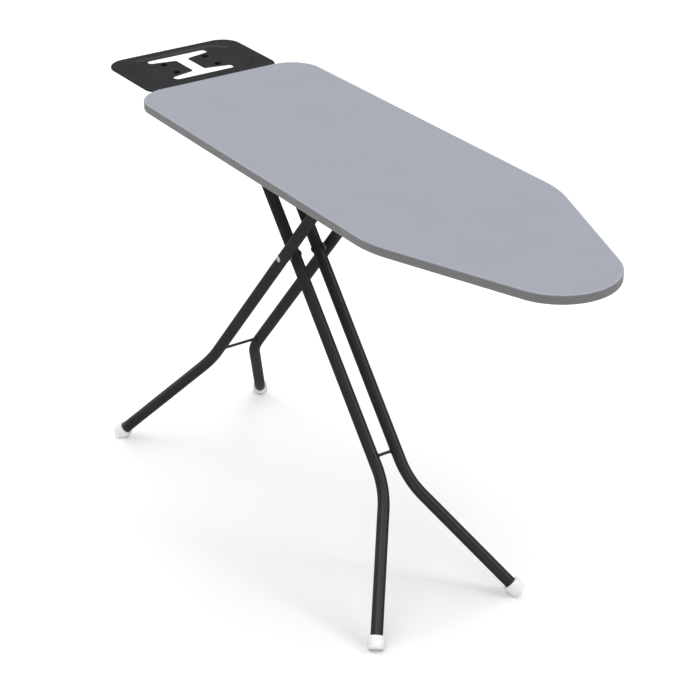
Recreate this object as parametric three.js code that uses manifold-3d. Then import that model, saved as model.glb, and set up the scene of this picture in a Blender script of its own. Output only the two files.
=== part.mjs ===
// Ironing board: a padded board with an iron rest, on a folding scissor stand.
// Millimetres, +Z up, +X towards the nose, +Y is the left side.
// The pieces are laid out from the board's rear edge at x = 0, standing on z = 0.
// The last group shifts them so that the origin is under the middle of the whole object.

import * as THREE from 'three';
import { mergeVertices } from 'three/addons/utils/BufferGeometryUtils.js';
import Module from 'manifold-3d';

const wasm = await Module();
wasm.setup();

const GAP = 0.3;
const DEGREE = Math.PI / 180;
const SIDES = [{ name: 'left', sign: 1 }, { name: 'right', sign: -1 }];

// Board
const BOARD_LENGTH = 1200;
const BOARD_TOP = 870;
const BOARD_THICKNESS = 18;
const REAR_HALF_WIDTH = 201.5;
const WIDEST_HALF_WIDTH = 208.7;
const WIDEST_STATION = 804;
const REAR_CORNER_RADIUS = 69;
const SHOULDER_RADIUS = 220;
const NOSE_RADIUS = 110;
const COVER_SKIN = 1;
const HEM_WIDTH = 36;
const PAD_THICKNESS = 3.4;
const DRAWCORD_RADIUS = 1.3;
const VENT_RADIUS = 7;
const FIRST_VENT = 190;
const VENT_PITCH = 120;
const VENT_ROWS = [-140, -36, 36, 140];
const UNDERSIDE = BOARD_TOP - BOARD_THICKNESS;
const DECK_BOTTOM = UNDERSIDE + COVER_SKIN + GAP;
const HARDWARE_TOP = DECK_BOTTOM - GAP;

// Iron rest
const REST_REAR = -213;
const REST_FRONT = -1.5;
const REST_HALF_WIDTH = 152;
const REST_REAR_RADIUS = 44;
const REST_FRONT_RADIUS = 34;
const REST_TOP = BOARD_TOP - 5;
const REST_SHEET = 1.5;
const REST_RIM_HEIGHT = 4.5;
const REST_DEPTH = 3;
const REST_RIM_WIDTH = 24;
const REST_CHAMFER = 30;
const SLOT_REAR = -180;
const SLOT_FRONT = -50;
const SLOT_HALF_LENGTH = 69;
const SLOT_END_WIDTH = 16;
const SLOT_MIDDLE_WIDTH = 28;
const WEB_HALF_WIDTH = 13.5;
const STUD_X = [-138.5, -85.5];
const STUD_Y = 49;
const ARM_Y = 92;
const ARM_WIDTH = 22;
const ARM_THICKNESS = 3;

// Scissor stand
const TUBE_RADIUS = 12;
const TUBE_WALL = 1.2;
const TUBE_SIDES = 16;
const STAND_ANGLE = 50 * DEGREE;
const PIVOT = { x: 326, z: 601.5 };
const TOP_AXIS_Z = 835;
const FOOT_Z = 13;
const BEND_RADIUS = 180;
const BEND_STEPS = 7;
const INNER = { slope: 1, y: 27.6, bendZ: 223.5, footY: 168, stretcherZ: 272 };
const OUTER = { slope: -1, y: 53.1, bendZ: 242.5, footY: 183, stretcherZ: 278 };
const ARM_REACH = (TOP_AXIS_Z - PIVOT.z) / Math.sin(STAND_ANGLE);
const HINGE_X = PIVOT.x - ARM_REACH * Math.cos(STAND_ANGLE);
const SLIDE_X = PIVOT.x + ARM_REACH * Math.cos(STAND_ANGLE);
const FOLD_ANGLE = 45 * DEGREE;
const SLIDE_END_X = HINGE_X + 2 * ARM_REACH * Math.cos(STAND_ANGLE - FOLD_ANGLE);
const STRETCHER_RADIUS = 3;
const CAP_RADIUS = 16.8;
const CAP_EDGE_RADIUS = 3;
const CAP_MOUTH = -15.5;
const CAP_END = 9;
const TUBE_END_IN_CAP = -3;
const RIVET_RADIUS = 4;
const RIVET_HEAD_RADIUS = 6.2;
const RIVET_HEAD_HEIGHT = 2.8;

// Hinge at the rear of the board
const CROSSBAR_HALF_LENGTH = 70;
const BUSH_WALL = 2.7;
const STRAP_Y = 56;
const STRAP_WIDTH = 16;
const STRAP_THICKNESS = 2;
const STRAP_FLANGE = 34;

// Slide at the front of the stand
const ROD_RADIUS = 5;
const ROD_HALF_LENGTH = 84;
const LEG_OVERHANG = 10;
const BLOCK = { innerY: 66.5, outerY: 86, halfLength: 17, bottom: 820.4, top: 852.5 };
const RAIL_SHEET = 1.5;
const RAIL_WEB_Y = 86.5;
const RAIL_LIP_Y = 74;
const RAIL_FLANGE_Y = 106;
const RAIL_BOTTOM = 818.5;
const RAIL_REAR = SLIDE_X - BLOCK.halfLength - 0.5 - RAIL_SHEET;
const RAIL_FRONT = SLIDE_END_X + BLOCK.halfLength + 0.5 + RAIL_SHEET;

// Height lock
const STRIP = { halfWidth: 12, thickness: 3, rear: 496, front: 782 };
const CAM_HALF_WIDTH = 13;
const CAM_HUB_RADIUS = 9.5;
const CAM_LOBE_RADIUS = 5.5;
const LEVER_REACH = 60;
const LEVER_DROP = 30;
const LEVER_ROD_RADIUS = 3;
const LEVER_ROD_END = -134;
const GRIP = { innerY: -92, endY: -140, radius: 7.5 };
const SPRING = { coilRadius: 7.4, wireRadius: 0.8, turns: 3, firstY: 14.5, pitch: 2.2 };

// Screws
const SCREW_SHANK_RADIUS = 1.9;
const SCREW_HOLE_RADIUS = 2.3;
const SCREW_LENGTH = 9;
const SCREW_HEAD_RADIUS = 4.2;
const SCREW_HEAD_HEIGHT = 2.4;

const FABRIC = { color: 0xaaadb6, roughness: 0.9, metalness: 0 };
const FELT = { color: 0xd8d4ca, roughness: 1, metalness: 0 };
const WOOD = { color: 0xb08d62, roughness: 0.8, metalness: 0 };
const BLACK_STEEL = { color: 0x3b3b3b, roughness: 0.45, metalness: 0.5 };
const ZINC = { color: 0xc9ccd0, roughness: 0.3, metalness: 1 };
const BLACK_PLASTIC = { color: 0x1d1d1e, roughness: 0.55, metalness: 0 };
const WHITE_PLASTIC = { color: 0xf3f3f1, roughness: 0.5, metalness: 0 };
const CORD = { color: 0xe6e4de, roughness: 0.9, metalness: 0 };

// ---------------------------------------------------------------- helpers

function solid(geometry) {
  const bare = geometry.index ? geometry.toNonIndexed() : geometry.clone();
  bare.deleteAttribute('normal');
  bare.deleteAttribute('uv');
  const merged = mergeVertices(bare, 1e-4);
  const vertProperties = new Float32Array(merged.attributes.position.array);
  const triVerts = new Uint32Array(merged.index.array);
  return new wasm.Manifold(new wasm.Mesh({ numProp: 3, vertProperties, triVerts }));
}

function geometryOf(manifold) {
  const result = manifold.getMesh();
  const geometry = new THREE.BufferGeometry();
  geometry.setAttribute('position', new THREE.BufferAttribute(new Float32Array(result.vertProperties), 3));
  geometry.setIndex(new THREE.BufferAttribute(new Uint32Array(result.triVerts), 1));
  geometry.computeVertexNormals();
  return geometry;
}

function cut(base, ...tools) {
  let result = solid(base);
  for (const tool of tools) {
    result = result.subtract(solid(tool));
  }
  return geometryOf(result);
}

function join(...bodies) {
  let result = solid(bodies[0]);
  for (const body of bodies.slice(1)) {
    result = result.add(solid(body));
  }
  return geometryOf(result);
}

function box(x0, x1, y0, y1, z0, z1) {
  const geometry = new THREE.BoxGeometry(x1 - x0, y1 - y0, z1 - z0);
  return geometry.translate((x0 + x1) / 2, (y0 + y1) / 2, (z0 + z1) / 2);
}

function extrude(shape, depth, curveSegments) {
  return new THREE.ExtrudeGeometry(shape, { depth, curveSegments, bevelEnabled: false });
}

function extrudeUp(shape, z0, z1, curveSegments = 8) {
  return extrude(shape, z1 - z0, curveSegments).translate(0, 0, z0);
}

// The shape's own x and y become x and z, and it fills y0 to y1.
function extrudeAlongY(shape, y0, y1, curveSegments = 8) {
  return extrude(shape, y1 - y0, curveSegments).rotateX(Math.PI / 2).translate(0, y1, 0);
}

// The shape's own x and y become y and z, and it fills x0 to x1.
function extrudeAlongX(shape, x0, x1) {
  const turn = new THREE.Matrix4().set(0, 0, 1, x0, 1, 0, 0, 0, 0, 1, 0, 0, 0, 0, 0, 1);
  return extrude(shape, x1 - x0, 8).applyMatrix4(turn);
}

function rodAlongY(x, z, radius, y0, y1, sides = 16) {
  const geometry = new THREE.CylinderGeometry(radius, radius, y1 - y0, sides);
  return geometry.translate(x, (y0 + y1) / 2, z);
}

function rodAlongZ(x, y, radius, z0, z1, sides = 12) {
  const geometry = new THREE.CylinderGeometry(radius, radius, z1 - z0, sides);
  return geometry.rotateX(Math.PI / 2).translate(x, y, (z0 + z1) / 2);
}

// A body of revolution about the Y axis: each profile point is [radius, y].
function turnedAlongY(profile, sides = 20) {
  return new THREE.LatheGeometry(profile.map(([r, y]) => new THREE.Vector2(r, y)), sides);
}

// A body of revolution about the Z axis: each profile point is [radius, z].
function turnedAlongZ(profile, sides = 12) {
  return turnedAlongY(profile, sides).rotateX(Math.PI / 2);
}

function polygon(points) {
  return new THREE.Shape(points.map(([x, y]) => new THREE.Vector2(x, y)));
}

// The outline of a belt pulled tight round circles listed counter-clockwise.
function belt(circles, inset = 0) {
  const shape = new THREE.Shape();
  const count = circles.length;
  const outward = circles.map((a, i) => {
    const b = circles[(i + 1) % count];
    const heading = Math.atan2(b.y - a.y, b.x - a.x);
    return heading - Math.acos((a.r - b.r) / Math.hypot(b.x - a.x, b.y - a.y));
  });
  circles.forEach((circle, i) => {
    const start = outward[(i + count - 1) % count];
    shape.absarc(circle.x, circle.y, circle.r - inset, start, outward[i], false);
  });
  return shape;
}

function roundedRectangle(x0, x1, halfWidth, rearRadius, frontRadius, inset = 0) {
  return belt([
    { x: x0 + rearRadius, y: -halfWidth + rearRadius, r: rearRadius },
    { x: x1 - frontRadius, y: -halfWidth + frontRadius, r: frontRadius },
    { x: x1 - frontRadius, y: halfWidth - frontRadius, r: frontRadius },
    { x: x0 + rearRadius, y: halfWidth - rearRadius, r: rearRadius },
  ], inset);
}

const root = new THREE.Group();
root.position.x = -(BOARD_LENGTH + REST_REAR) / 2;

function addPiece(name, geometry, look) {
  const mesh = new THREE.Mesh(geometry, new THREE.MeshStandardMaterial(look));
  mesh.name = name;
  root.add(mesh);
}

// ---------------------------------------------------------------- screws

function screw(x, y, headTop) {
  const profile = [
    [0, headTop + SCREW_LENGTH],
    [SCREW_SHANK_RADIUS, headTop + SCREW_LENGTH - 2],
    [SCREW_SHANK_RADIUS, headTop],
    [SCREW_HEAD_RADIUS, headTop],
    [SCREW_HEAD_RADIUS * 0.8, headTop - SCREW_HEAD_HEIGHT],
    [0, headTop - SCREW_HEAD_HEIGHT],
  ];
  return turnedAlongZ(profile.reverse(), 10).translate(x, y, 0);
}

function screwHole(place) {
  return rodAlongZ(place.x, place.y, SCREW_HOLE_RADIUS, place.z - 4, DECK_BOTTOM + SCREW_LENGTH, 10);
}

function addScrews(name, places) {
  places.forEach((place, i) => {
    addPiece(`${name}_${i + 1}`, screw(place.x, place.y, place.z - GAP), ZINC);
  });
}

const railScrews = SIDES.flatMap(({ sign }) => [RAIL_REAR + 24, RAIL_FRONT - 24].map((x) => (
  { x, y: sign * 98, z: HARDWARE_TOP - RAIL_SHEET }
)));
const strapScrews = SIDES.flatMap(({ sign }) => [-26, 26].map((offset) => (
  { x: HINGE_X + offset, y: sign * STRAP_Y, z: HARDWARE_TOP - STRAP_THICKNESS }
)));
const armScrews = SIDES.map(({ sign }) => (
  { x: 75, y: sign * ARM_Y, z: HARDWARE_TOP - ARM_THICKNESS }
));
const stripScrews = [STRIP.rear + 9, STRIP.front - 9].map((x) => (
  { x, y: 0, z: HARDWARE_TOP - STRIP.thickness }
));

// ---------------------------------------------------------------- board

const shoulder = { x: WIDEST_STATION, y: WIDEST_HALF_WIDTH - SHOULDER_RADIUS, r: SHOULDER_RADIUS };
const rearCorner = {
  x: REAR_CORNER_RADIUS,
  y: REAR_HALF_WIDTH - REAR_CORNER_RADIUS,
  r: REAR_CORNER_RADIUS,
};
const nose = { x: BOARD_LENGTH - NOSE_RADIUS, y: 0, r: NOSE_RADIUS };

function mirrored(circle) {
  return { x: circle.x, y: -circle.y, r: circle.r };
}

function boardOutline(inset) {
  return belt([mirrored(rearCorner), mirrored(shoulder), nose, shoulder, rearCorner], inset);
}

function makeBoard() {
  const deckInset = COVER_SKIN + GAP;
  const coverTopInside = BOARD_TOP - COVER_SKIN;
  const padTop = coverTopInside - GAP;
  const deckTop = padTop - PAD_THICKNESS - GAP;

  const vents = [];
  for (let x = FIRST_VENT; x < BOARD_LENGTH - 130; x += VENT_PITCH) {
    for (const y of VENT_ROWS) {
      const insideTaper = Math.abs(y) < WIDEST_HALF_WIDTH - 40 - Math.max(0, x - WIDEST_STATION) * 0.4;
      if (insideTaper) {
        vents.push(rodAlongZ(x, y, VENT_RADIUS, DECK_BOTTOM - 5, deckTop + 5, 8));
      }
    }
  }
  const pilots = [...railScrews, ...strapScrews, ...armScrews, ...stripScrews].map(screwHole);
  const plank = extrudeUp(boardOutline(deckInset), DECK_BOTTOM, deckTop);
  addPiece('board_deck', cut(plank, ...vents, ...pilots), WOOD);

  const pad = extrudeUp(boardOutline(deckInset), deckTop + GAP, padTop);
  addPiece('board_pad', pad, FELT);

  const block = extrudeUp(boardOutline(0), UNDERSIDE, BOARD_TOP);
  const room = extrudeUp(boardOutline(COVER_SKIN), UNDERSIDE + COVER_SKIN, coverTopInside);
  const mouth = extrudeUp(boardOutline(HEM_WIDTH), UNDERSIDE - 5, UNDERSIDE + COVER_SKIN + 1);
  addPiece('board_cover', cut(block, room, mouth), FABRIC);

  const cordInset = HEM_WIDTH + GAP + DRAWCORD_RADIUS;
  const cordTop = HARDWARE_TOP;
  const cordRing = extrudeUp(boardOutline(cordInset - DRAWCORD_RADIUS), cordTop - 2 * DRAWCORD_RADIUS, cordTop, 5);
  const cordInner = extrudeUp(boardOutline(cordInset + DRAWCORD_RADIUS), cordTop - 10, cordTop + 10, 5);
  addPiece('cover_drawcord', cut(cordRing, cordInner), CORD);
}

// ---------------------------------------------------------------- iron rest

function restPocket(margin) {
  const x0 = REST_REAR + margin;
  const x1 = REST_FRONT - margin;
  const y = REST_HALF_WIDTH - margin - 8;
  return polygon([
    [x0 + REST_CHAMFER, -y], [x1 - REST_CHAMFER, -y], [x1, -y + REST_CHAMFER], [x1, y - REST_CHAMFER],
    [x1 - REST_CHAMFER, y], [x0 + REST_CHAMFER, y], [x0, y - REST_CHAMFER], [x0, -y + REST_CHAMFER],
  ]);
}

// One half of the opening: a cross slot that widens to the web in its middle.
function crossSlot(outerX, inward) {
  const endRadius = SLOT_END_WIDTH / 2;
  const endX = outerX + inward * endRadius;
  const middleX = outerX + inward * (SLOT_MIDDLE_WIDTH - endRadius);
  const circles = [
    { x: endX, y: -SLOT_HALF_LENGTH + endRadius, r: endRadius },
    { x: middleX, y: -WEB_HALF_WIDTH, r: endRadius },
    { x: middleX, y: WEB_HALF_WIDTH, r: endRadius },
    { x: endX, y: SLOT_HALF_LENGTH - endRadius, r: endRadius },
  ];
  return belt(inward > 0 ? circles : circles.reverse());
}

function stud(x, y) {
  const floorTop = REST_TOP - REST_DEPTH;
  const floorBottom = floorTop - REST_SHEET;
  const profile = [
    [0, floorBottom - GAP - 2],
    [4.5, floorBottom - GAP - 1.6],
    [5, floorBottom - GAP],
    [2.6, floorBottom - GAP],
    [2.6, floorTop + GAP],
    [6.4, floorTop + GAP],
    [5.6, floorTop + 1.8],
    [3.2, floorTop + 2.6],
    [0, floorTop + 2.8],
  ];
  return turnedAlongZ(profile, 12).translate(x, y, 0);
}

function makeIronRest() {
  const bottom = REST_TOP - REST_RIM_HEIGHT;
  const floorTop = REST_TOP - REST_DEPTH;
  const outline = (inset) => (
    roundedRectangle(REST_REAR, REST_FRONT, REST_HALF_WIDTH, REST_REAR_RADIUS, REST_FRONT_RADIUS, inset)
  );
  const slab = extrudeUp(outline(0), bottom, REST_TOP, 6);
  const tray = extrudeUp(restPocket(REST_RIM_WIDTH), floorTop, REST_TOP + 5);
  const hollow = extrudeUp(outline(REST_SHEET), bottom - 5, REST_TOP - REST_SHEET, 6);
  const kept = extrudeUp(restPocket(REST_RIM_WIDTH - REST_SHEET), bottom - 6, REST_TOP);
  const underRim = cut(hollow, kept);
  const slots = [crossSlot(SLOT_REAR, 1), crossSlot(SLOT_FRONT, -1)];
  const cutters = slots.map((slot) => extrudeUp(slot, bottom - 5, REST_TOP + 5, 4));
  const web = box(SLOT_REAR + 8, SLOT_FRONT - 8, -WEB_HALF_WIDTH, WEB_HALF_WIDTH, bottom - 5, REST_TOP + 5);
  const studPlaces = SIDES.flatMap(({ sign }) => STUD_X.map((x) => ({ x, y: sign * STUD_Y })));
  const studHoles = studPlaces.map(({ x, y }) => rodAlongZ(x, y, 3, bottom - 20, REST_TOP + 5, 14));
  addPiece('iron_rest_plate', cut(slab, tray, underRim, ...cutters, web, ...studHoles), BLACK_STEEL);
  studPlaces.forEach(({ x, y }, i) => addPiece(`iron_rest_stud_${i + 1}`, stud(x, y), BLACK_PLASTIC));

  const high = bottom - GAP;
  const low = UNDERSIDE - DRAWCORD_RADIUS - 2 * GAP;
  const upperLine = [[-165, high], [-26, high], [-10, low], [48, low], [56, HARDWARE_TOP], [90, HARDWARE_TOP]];
  const lowerLine = upperLine.map(([x, z]) => [x, z - ARM_THICKNESS]);
  const side = polygon([...lowerLine, ...upperLine.reverse()]);
  const armHoles = armScrews.map(screwHole);
  for (const { name, sign } of SIDES) {
    const middle = sign * ARM_Y;
    const bar = extrudeAlongY(side, middle - ARM_WIDTH / 2, middle + ARM_WIDTH / 2);
    addPiece(`rest_arm_${name}`, cut(bar, ...armHoles), BLACK_STEEL);
  }
  addScrews('rest_arm_screw', armScrews);
}

// ---------------------------------------------------------------- stand tubes

// A straight stretch, one round bend and another straight stretch.
class BentLine extends THREE.Curve {
  constructor(start, corner, end) {
    super();
    const before = corner.clone().sub(start).normalize();
    const after = end.clone().sub(corner).normalize();
    const turn = before.angleTo(after);
    const trim = BEND_RADIUS * Math.tan(turn / 2);
    const arcStart = corner.clone().addScaledVector(before, -trim);
    const toCentre = after.clone().addScaledVector(before, -before.dot(after)).normalize();
    const centre = arcStart.clone().addScaledVector(toCentre, BEND_RADIUS);
    this.stations = [{ point: start, tangent: before }];
    for (let i = 0; i <= BEND_STEPS; i += 1) {
      const angle = turn * i / BEND_STEPS;
      const point = centre.clone()
        .addScaledVector(toCentre, -BEND_RADIUS * Math.cos(angle))
        .addScaledVector(before, BEND_RADIUS * Math.sin(angle));
      const tangent = before.clone().multiplyScalar(Math.cos(angle))
        .addScaledVector(toCentre, Math.sin(angle));
      this.stations.push({ point, tangent });
    }
    this.stations.push({ point: end, tangent: after });
  }

  station(t) {
    return this.stations[Math.round(t * (this.stations.length - 1))];
  }

  getPoint(t) {
    return this.station(t).point.clone();
  }

  getPointAt(t) {
    return this.getPoint(t);
  }

  getTangentAt(t) {
    return this.station(t).tangent.clone();
  }
}

function ringShape(outerRadius, innerRadius) {
  const shape = new THREE.Shape();
  shape.absarc(0, 0, outerRadius, 0, 2 * Math.PI, false);
  const hole = new THREE.Path();
  hole.absarc(0, 0, innerRadius, 0, 2 * Math.PI, true);
  shape.holes.push(hole);
  return shape;
}

function framePoint(frame, z, y) {
  const run = (PIVOT.z - z) / Math.tan(STAND_ANGLE);
  return new THREE.Vector3(PIVOT.x + frame.slope * run, y, z);
}

function footDirection(frame, sign) {
  const bend = framePoint(frame, frame.bendZ, sign * frame.y);
  return framePoint(frame, FOOT_Z, sign * frame.footY).sub(bend).normalize();
}

function legGeometry(frame, sign, topZ) {
  const start = framePoint(frame, topZ, sign * frame.y);
  const corner = framePoint(frame, frame.bendZ, sign * frame.y);
  const end = framePoint(frame, FOOT_Z, sign * frame.footY)
    .addScaledVector(footDirection(frame, sign), TUBE_END_IN_CAP);
  const line = new BentLine(start, corner, end);
  return new THREE.ExtrudeGeometry(ringShape(TUBE_RADIUS, TUBE_RADIUS - TUBE_WALL), {
    extrudePath: line,
    steps: line.stations.length - 1,
    curveSegments: TUBE_SIDES / 2,
  });
}

// A plastic boot on a tube end, cut off flat where it meets the floor.
function footCap(frame, sign) {
  const bore = TUBE_RADIUS + GAP;
  const floorOfBore = TUBE_END_IN_CAP + GAP;
  const profile = [[0, CAP_END]];
  const edgeSteps = 4;
  for (let i = 0; i <= edgeSteps; i += 1) {
    const angle = (Math.PI / 2) * (1 - i / edgeSteps);
    profile.push([
      CAP_RADIUS - CAP_EDGE_RADIUS + CAP_EDGE_RADIUS * Math.cos(angle),
      CAP_END - CAP_EDGE_RADIUS + CAP_EDGE_RADIUS * Math.sin(angle),
    ]);
  }
  profile.push([CAP_RADIUS, CAP_MOUTH + 1], [CAP_RADIUS - 1, CAP_MOUTH], [bore, CAP_MOUTH]);
  profile.push([bore, floorOfBore], [0, floorOfBore]);
  const aim = new THREE.Quaternion()
    .setFromUnitVectors(new THREE.Vector3(0, 1, 0), footDirection(frame, sign));
  const place = framePoint(frame, FOOT_Z, sign * frame.footY);
  const boot = turnedAlongY(profile.reverse(), 20).applyQuaternion(aim).translate(place.x, place.y, place.z);
  const ground = box(place.x - 60, place.x + 60, place.y - 60, place.y + 60, -60, 0);
  return cut(boot, ground);
}

function stretcher(frame) {
  const place = framePoint(frame, frame.stretcherZ, 0);
  const reach = frame.y - TUBE_RADIUS - GAP;
  return rodAlongY(place.x, place.z, STRETCHER_RADIUS, -reach, reach, 12);
}

function pivotHole(radius) {
  return rodAlongY(PIVOT.x, PIVOT.z, radius, -120, 120, 16);
}

// A plug in the end of a tube along Y, or about the Y axis before it is turned.
function plugProfile() {
  const spigot = TUBE_RADIUS - TUBE_WALL - GAP;
  return [[0, -12], [spigot, -12], [spigot, GAP], [TUBE_RADIUS, GAP], [TUBE_RADIUS - 0.6, 2], [0, 2.4]];
}

function makeInnerFrame() {
  const axisRoom = rodAlongY(HINGE_X, TOP_AXIS_Z, TUBE_RADIUS + GAP, -90, 90, 32);
  for (const { name, sign } of SIDES) {
    const tube = legGeometry(INNER, sign, TOP_AXIS_Z);
    addPiece(`inner_leg_${name}`, cut(tube, axisRoom, pivotHole(RIVET_RADIUS + GAP)), BLACK_STEEL);
    addPiece(`inner_foot_cap_${name}`, footCap(INNER, sign), WHITE_PLASTIC);
    const plug = turnedAlongY(plugProfile(), 16).translate(0, CROSSBAR_HALF_LENGTH, 0);
    if (sign < 0) {
      plug.rotateX(Math.PI);
    }
    addPiece(`inner_crossbar_plug_${name}`, plug.translate(HINGE_X, 0, TOP_AXIS_Z), BLACK_PLASTIC);
  }
  const crossbar = extrude(ringShape(TUBE_RADIUS, TUBE_RADIUS - TUBE_WALL), 2 * CROSSBAR_HALF_LENGTH, 10);
  crossbar.rotateX(Math.PI / 2).translate(HINGE_X, CROSSBAR_HALF_LENGTH, TOP_AXIS_Z);
  addPiece('inner_crossbar', crossbar, BLACK_STEEL);
  addPiece('inner_stretcher', stretcher(INNER), BLACK_STEEL);
}

function rivet(sign) {
  const outerFace = OUTER.y + TUBE_RADIUS + GAP;
  const innerFace = INNER.y - TUBE_RADIUS - GAP;
  const profile = [
    [0, innerFace - 2.2],
    [5, innerFace - 1.6],
    [6.4, innerFace],
    [RIVET_RADIUS, innerFace],
    [RIVET_RADIUS, outerFace],
    [RIVET_HEAD_RADIUS, outerFace],
    [RIVET_HEAD_RADIUS * 0.85, outerFace + RIVET_HEAD_HEIGHT * 0.55],
    [RIVET_HEAD_RADIUS * 0.45, outerFace + RIVET_HEAD_HEIGHT * 0.9],
    [0, outerFace + RIVET_HEAD_HEIGHT],
  ];
  const pin = turnedAlongY(profile, 16);
  if (sign < 0) {
    pin.rotateX(Math.PI);
  }
  return pin.translate(PIVOT.x, 0, PIVOT.z);
}

function makeOuterFrame() {
  const topZ = TOP_AXIS_Z + LEG_OVERHANG * Math.sin(STAND_ANGLE);
  const upAlongLeg = framePoint(OUTER, TOP_AXIS_Z, 0).sub(framePoint(OUTER, FOOT_Z, 0)).normalize();
  const aim = new THREE.Quaternion().setFromUnitVectors(new THREE.Vector3(0, 1, 0), upAlongLeg);
  const rodRoom = rodAlongY(SLIDE_X, TOP_AXIS_Z, ROD_RADIUS + GAP, -120, 120, 16);
  for (const { name, sign } of SIDES) {
    const tube = legGeometry(OUTER, sign, topZ);
    addPiece(`outer_leg_${name}`, cut(tube, rodRoom, pivotHole(RIVET_RADIUS + GAP)), BLACK_STEEL);
    addPiece(`outer_foot_cap_${name}`, footCap(OUTER, sign), WHITE_PLASTIC);
    const end = framePoint(OUTER, topZ, sign * OUTER.y);
    const spigot = TUBE_RADIUS - TUBE_WALL - GAP;
    const plug = turnedAlongY([[0, -3], [spigot, -3], [spigot, GAP], [TUBE_RADIUS, GAP], [0, 1.6]], 16);
    plug.applyQuaternion(aim).translate(end.x, end.y, end.z);
    addPiece(`outer_leg_plug_${name}`, plug, BLACK_PLASTIC);
    addPiece(`pivot_rivet_${name}`, rivet(sign), ZINC);
    const spacer = extrude(ringShape(9, RIVET_RADIUS + GAP), OUTER.y - INNER.y - 2 * TUBE_RADIUS - 2 * GAP, 8);
    spacer.rotateX(Math.PI / 2);
    const spacerEnd = sign > 0 ? OUTER.y - TUBE_RADIUS - GAP : -INNER.y - TUBE_RADIUS - GAP;
    addPiece(`pivot_spacer_${name}`, spacer.translate(PIVOT.x, spacerEnd, PIVOT.z), ZINC);
  }
  addPiece('outer_cross_rod', rodAlongY(SLIDE_X, TOP_AXIS_Z, ROD_RADIUS, -ROD_HALF_LENGTH, ROD_HALF_LENGTH), ZINC);
  addPiece('outer_stretcher', stretcher(OUTER), BLACK_STEEL);
}

// ---------------------------------------------------------------- rear hinge

function makeHinge() {
  const bushOuter = TUBE_RADIUS + GAP + BUSH_WALL;
  const inside = bushOuter + GAP;
  const outside = inside + STRAP_THICKNESS;
  const flangeBottomZ = HARDWARE_TOP - STRAP_THICKNESS - TOP_AXIS_Z;
  const flangeTopZ = HARDWARE_TOP - TOP_AXIS_Z;
  const strap = new THREE.Shape();
  strap.moveTo(-STRAP_FLANGE, flangeTopZ);
  strap.lineTo(-STRAP_FLANGE, flangeBottomZ);
  strap.lineTo(-outside, flangeBottomZ);
  strap.lineTo(-outside, 0);
  strap.absarc(0, 0, outside, Math.PI, 2 * Math.PI, false);
  strap.lineTo(outside, flangeBottomZ);
  strap.lineTo(STRAP_FLANGE, flangeBottomZ);
  strap.lineTo(STRAP_FLANGE, flangeTopZ);
  strap.lineTo(inside, flangeTopZ);
  strap.lineTo(inside, 0);
  strap.absarc(0, 0, inside, 2 * Math.PI, Math.PI, true);
  strap.lineTo(-inside, flangeTopZ);
  for (const { name, sign } of SIDES) {
    const middle = sign * STRAP_Y;
    const bent = extrudeAlongY(strap, middle - STRAP_WIDTH / 2, middle + STRAP_WIDTH / 2)
      .translate(HINGE_X, 0, TOP_AXIS_Z);
    addPiece(`hinge_strap_${name}`, cut(bent, ...strapScrews.map(screwHole)), ZINC);
    const bush = extrude(ringShape(bushOuter, TUBE_RADIUS + GAP), STRAP_WIDTH + 2, 10)
      .rotateX(Math.PI / 2).translate(HINGE_X, middle + STRAP_WIDTH / 2 + 1, TOP_AXIS_Z);
    addPiece(`hinge_bush_${name}`, bush, WHITE_PLASTIC);
  }
  addScrews('hinge_strap_screw', strapScrews);
}

// ---------------------------------------------------------------- front slide

function makeSlide() {
  for (const { name, sign } of SIDES) {
    const section = [
      [RAIL_FLANGE_Y, HARDWARE_TOP], [RAIL_WEB_Y, HARDWARE_TOP], [RAIL_WEB_Y, RAIL_BOTTOM + RAIL_SHEET],
      [RAIL_LIP_Y, RAIL_BOTTOM + RAIL_SHEET], [RAIL_LIP_Y, RAIL_BOTTOM],
      [RAIL_WEB_Y + RAIL_SHEET, RAIL_BOTTOM], [RAIL_WEB_Y + RAIL_SHEET, HARDWARE_TOP - RAIL_SHEET],
      [RAIL_FLANGE_Y, HARDWARE_TOP - RAIL_SHEET],
    ].map(([y, z]) => [sign * y, z]);
    const bar = extrudeAlongX(polygon(sign > 0 ? section : section.reverse()), RAIL_REAR, RAIL_FRONT);
    const near = Math.min(sign * RAIL_LIP_Y, sign * (RAIL_WEB_Y + 0.5));
    const far = Math.max(sign * RAIL_LIP_Y, sign * (RAIL_WEB_Y + 0.5));
    const stopTop = HARDWARE_TOP - 8;
    const rearStop = box(RAIL_REAR, RAIL_REAR + RAIL_SHEET, near, far, RAIL_BOTTOM + 0.5, stopTop);
    const frontStop = box(RAIL_FRONT - RAIL_SHEET, RAIL_FRONT, near, far, RAIL_BOTTOM + 0.5, stopTop);
    const rail = join(bar, rearStop, frontStop);
    addPiece(`slide_rail_${name}`, cut(rail, ...railScrews.map(screwHole)), ZINC);

    const y0 = Math.min(sign * BLOCK.innerY, sign * BLOCK.outerY);
    const y1 = Math.max(sign * BLOCK.innerY, sign * BLOCK.outerY);
    const x0 = SLIDE_X - BLOCK.halfLength;
    const x1 = SLIDE_X + BLOCK.halfLength;
    const body = box(x0, x1, y0, y1, BLOCK.bottom, BLOCK.top);
    const bore = rodAlongY(SLIDE_X, TOP_AXIS_Z, ROD_RADIUS + GAP, y0 - 1, y1 + 1);
    addPiece(`slide_block_${name}`, cut(body, bore), WHITE_PLASTIC);
  }
  addScrews('slide_rail_screw', railScrews);
}

// ---------------------------------------------------------------- height lock

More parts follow.
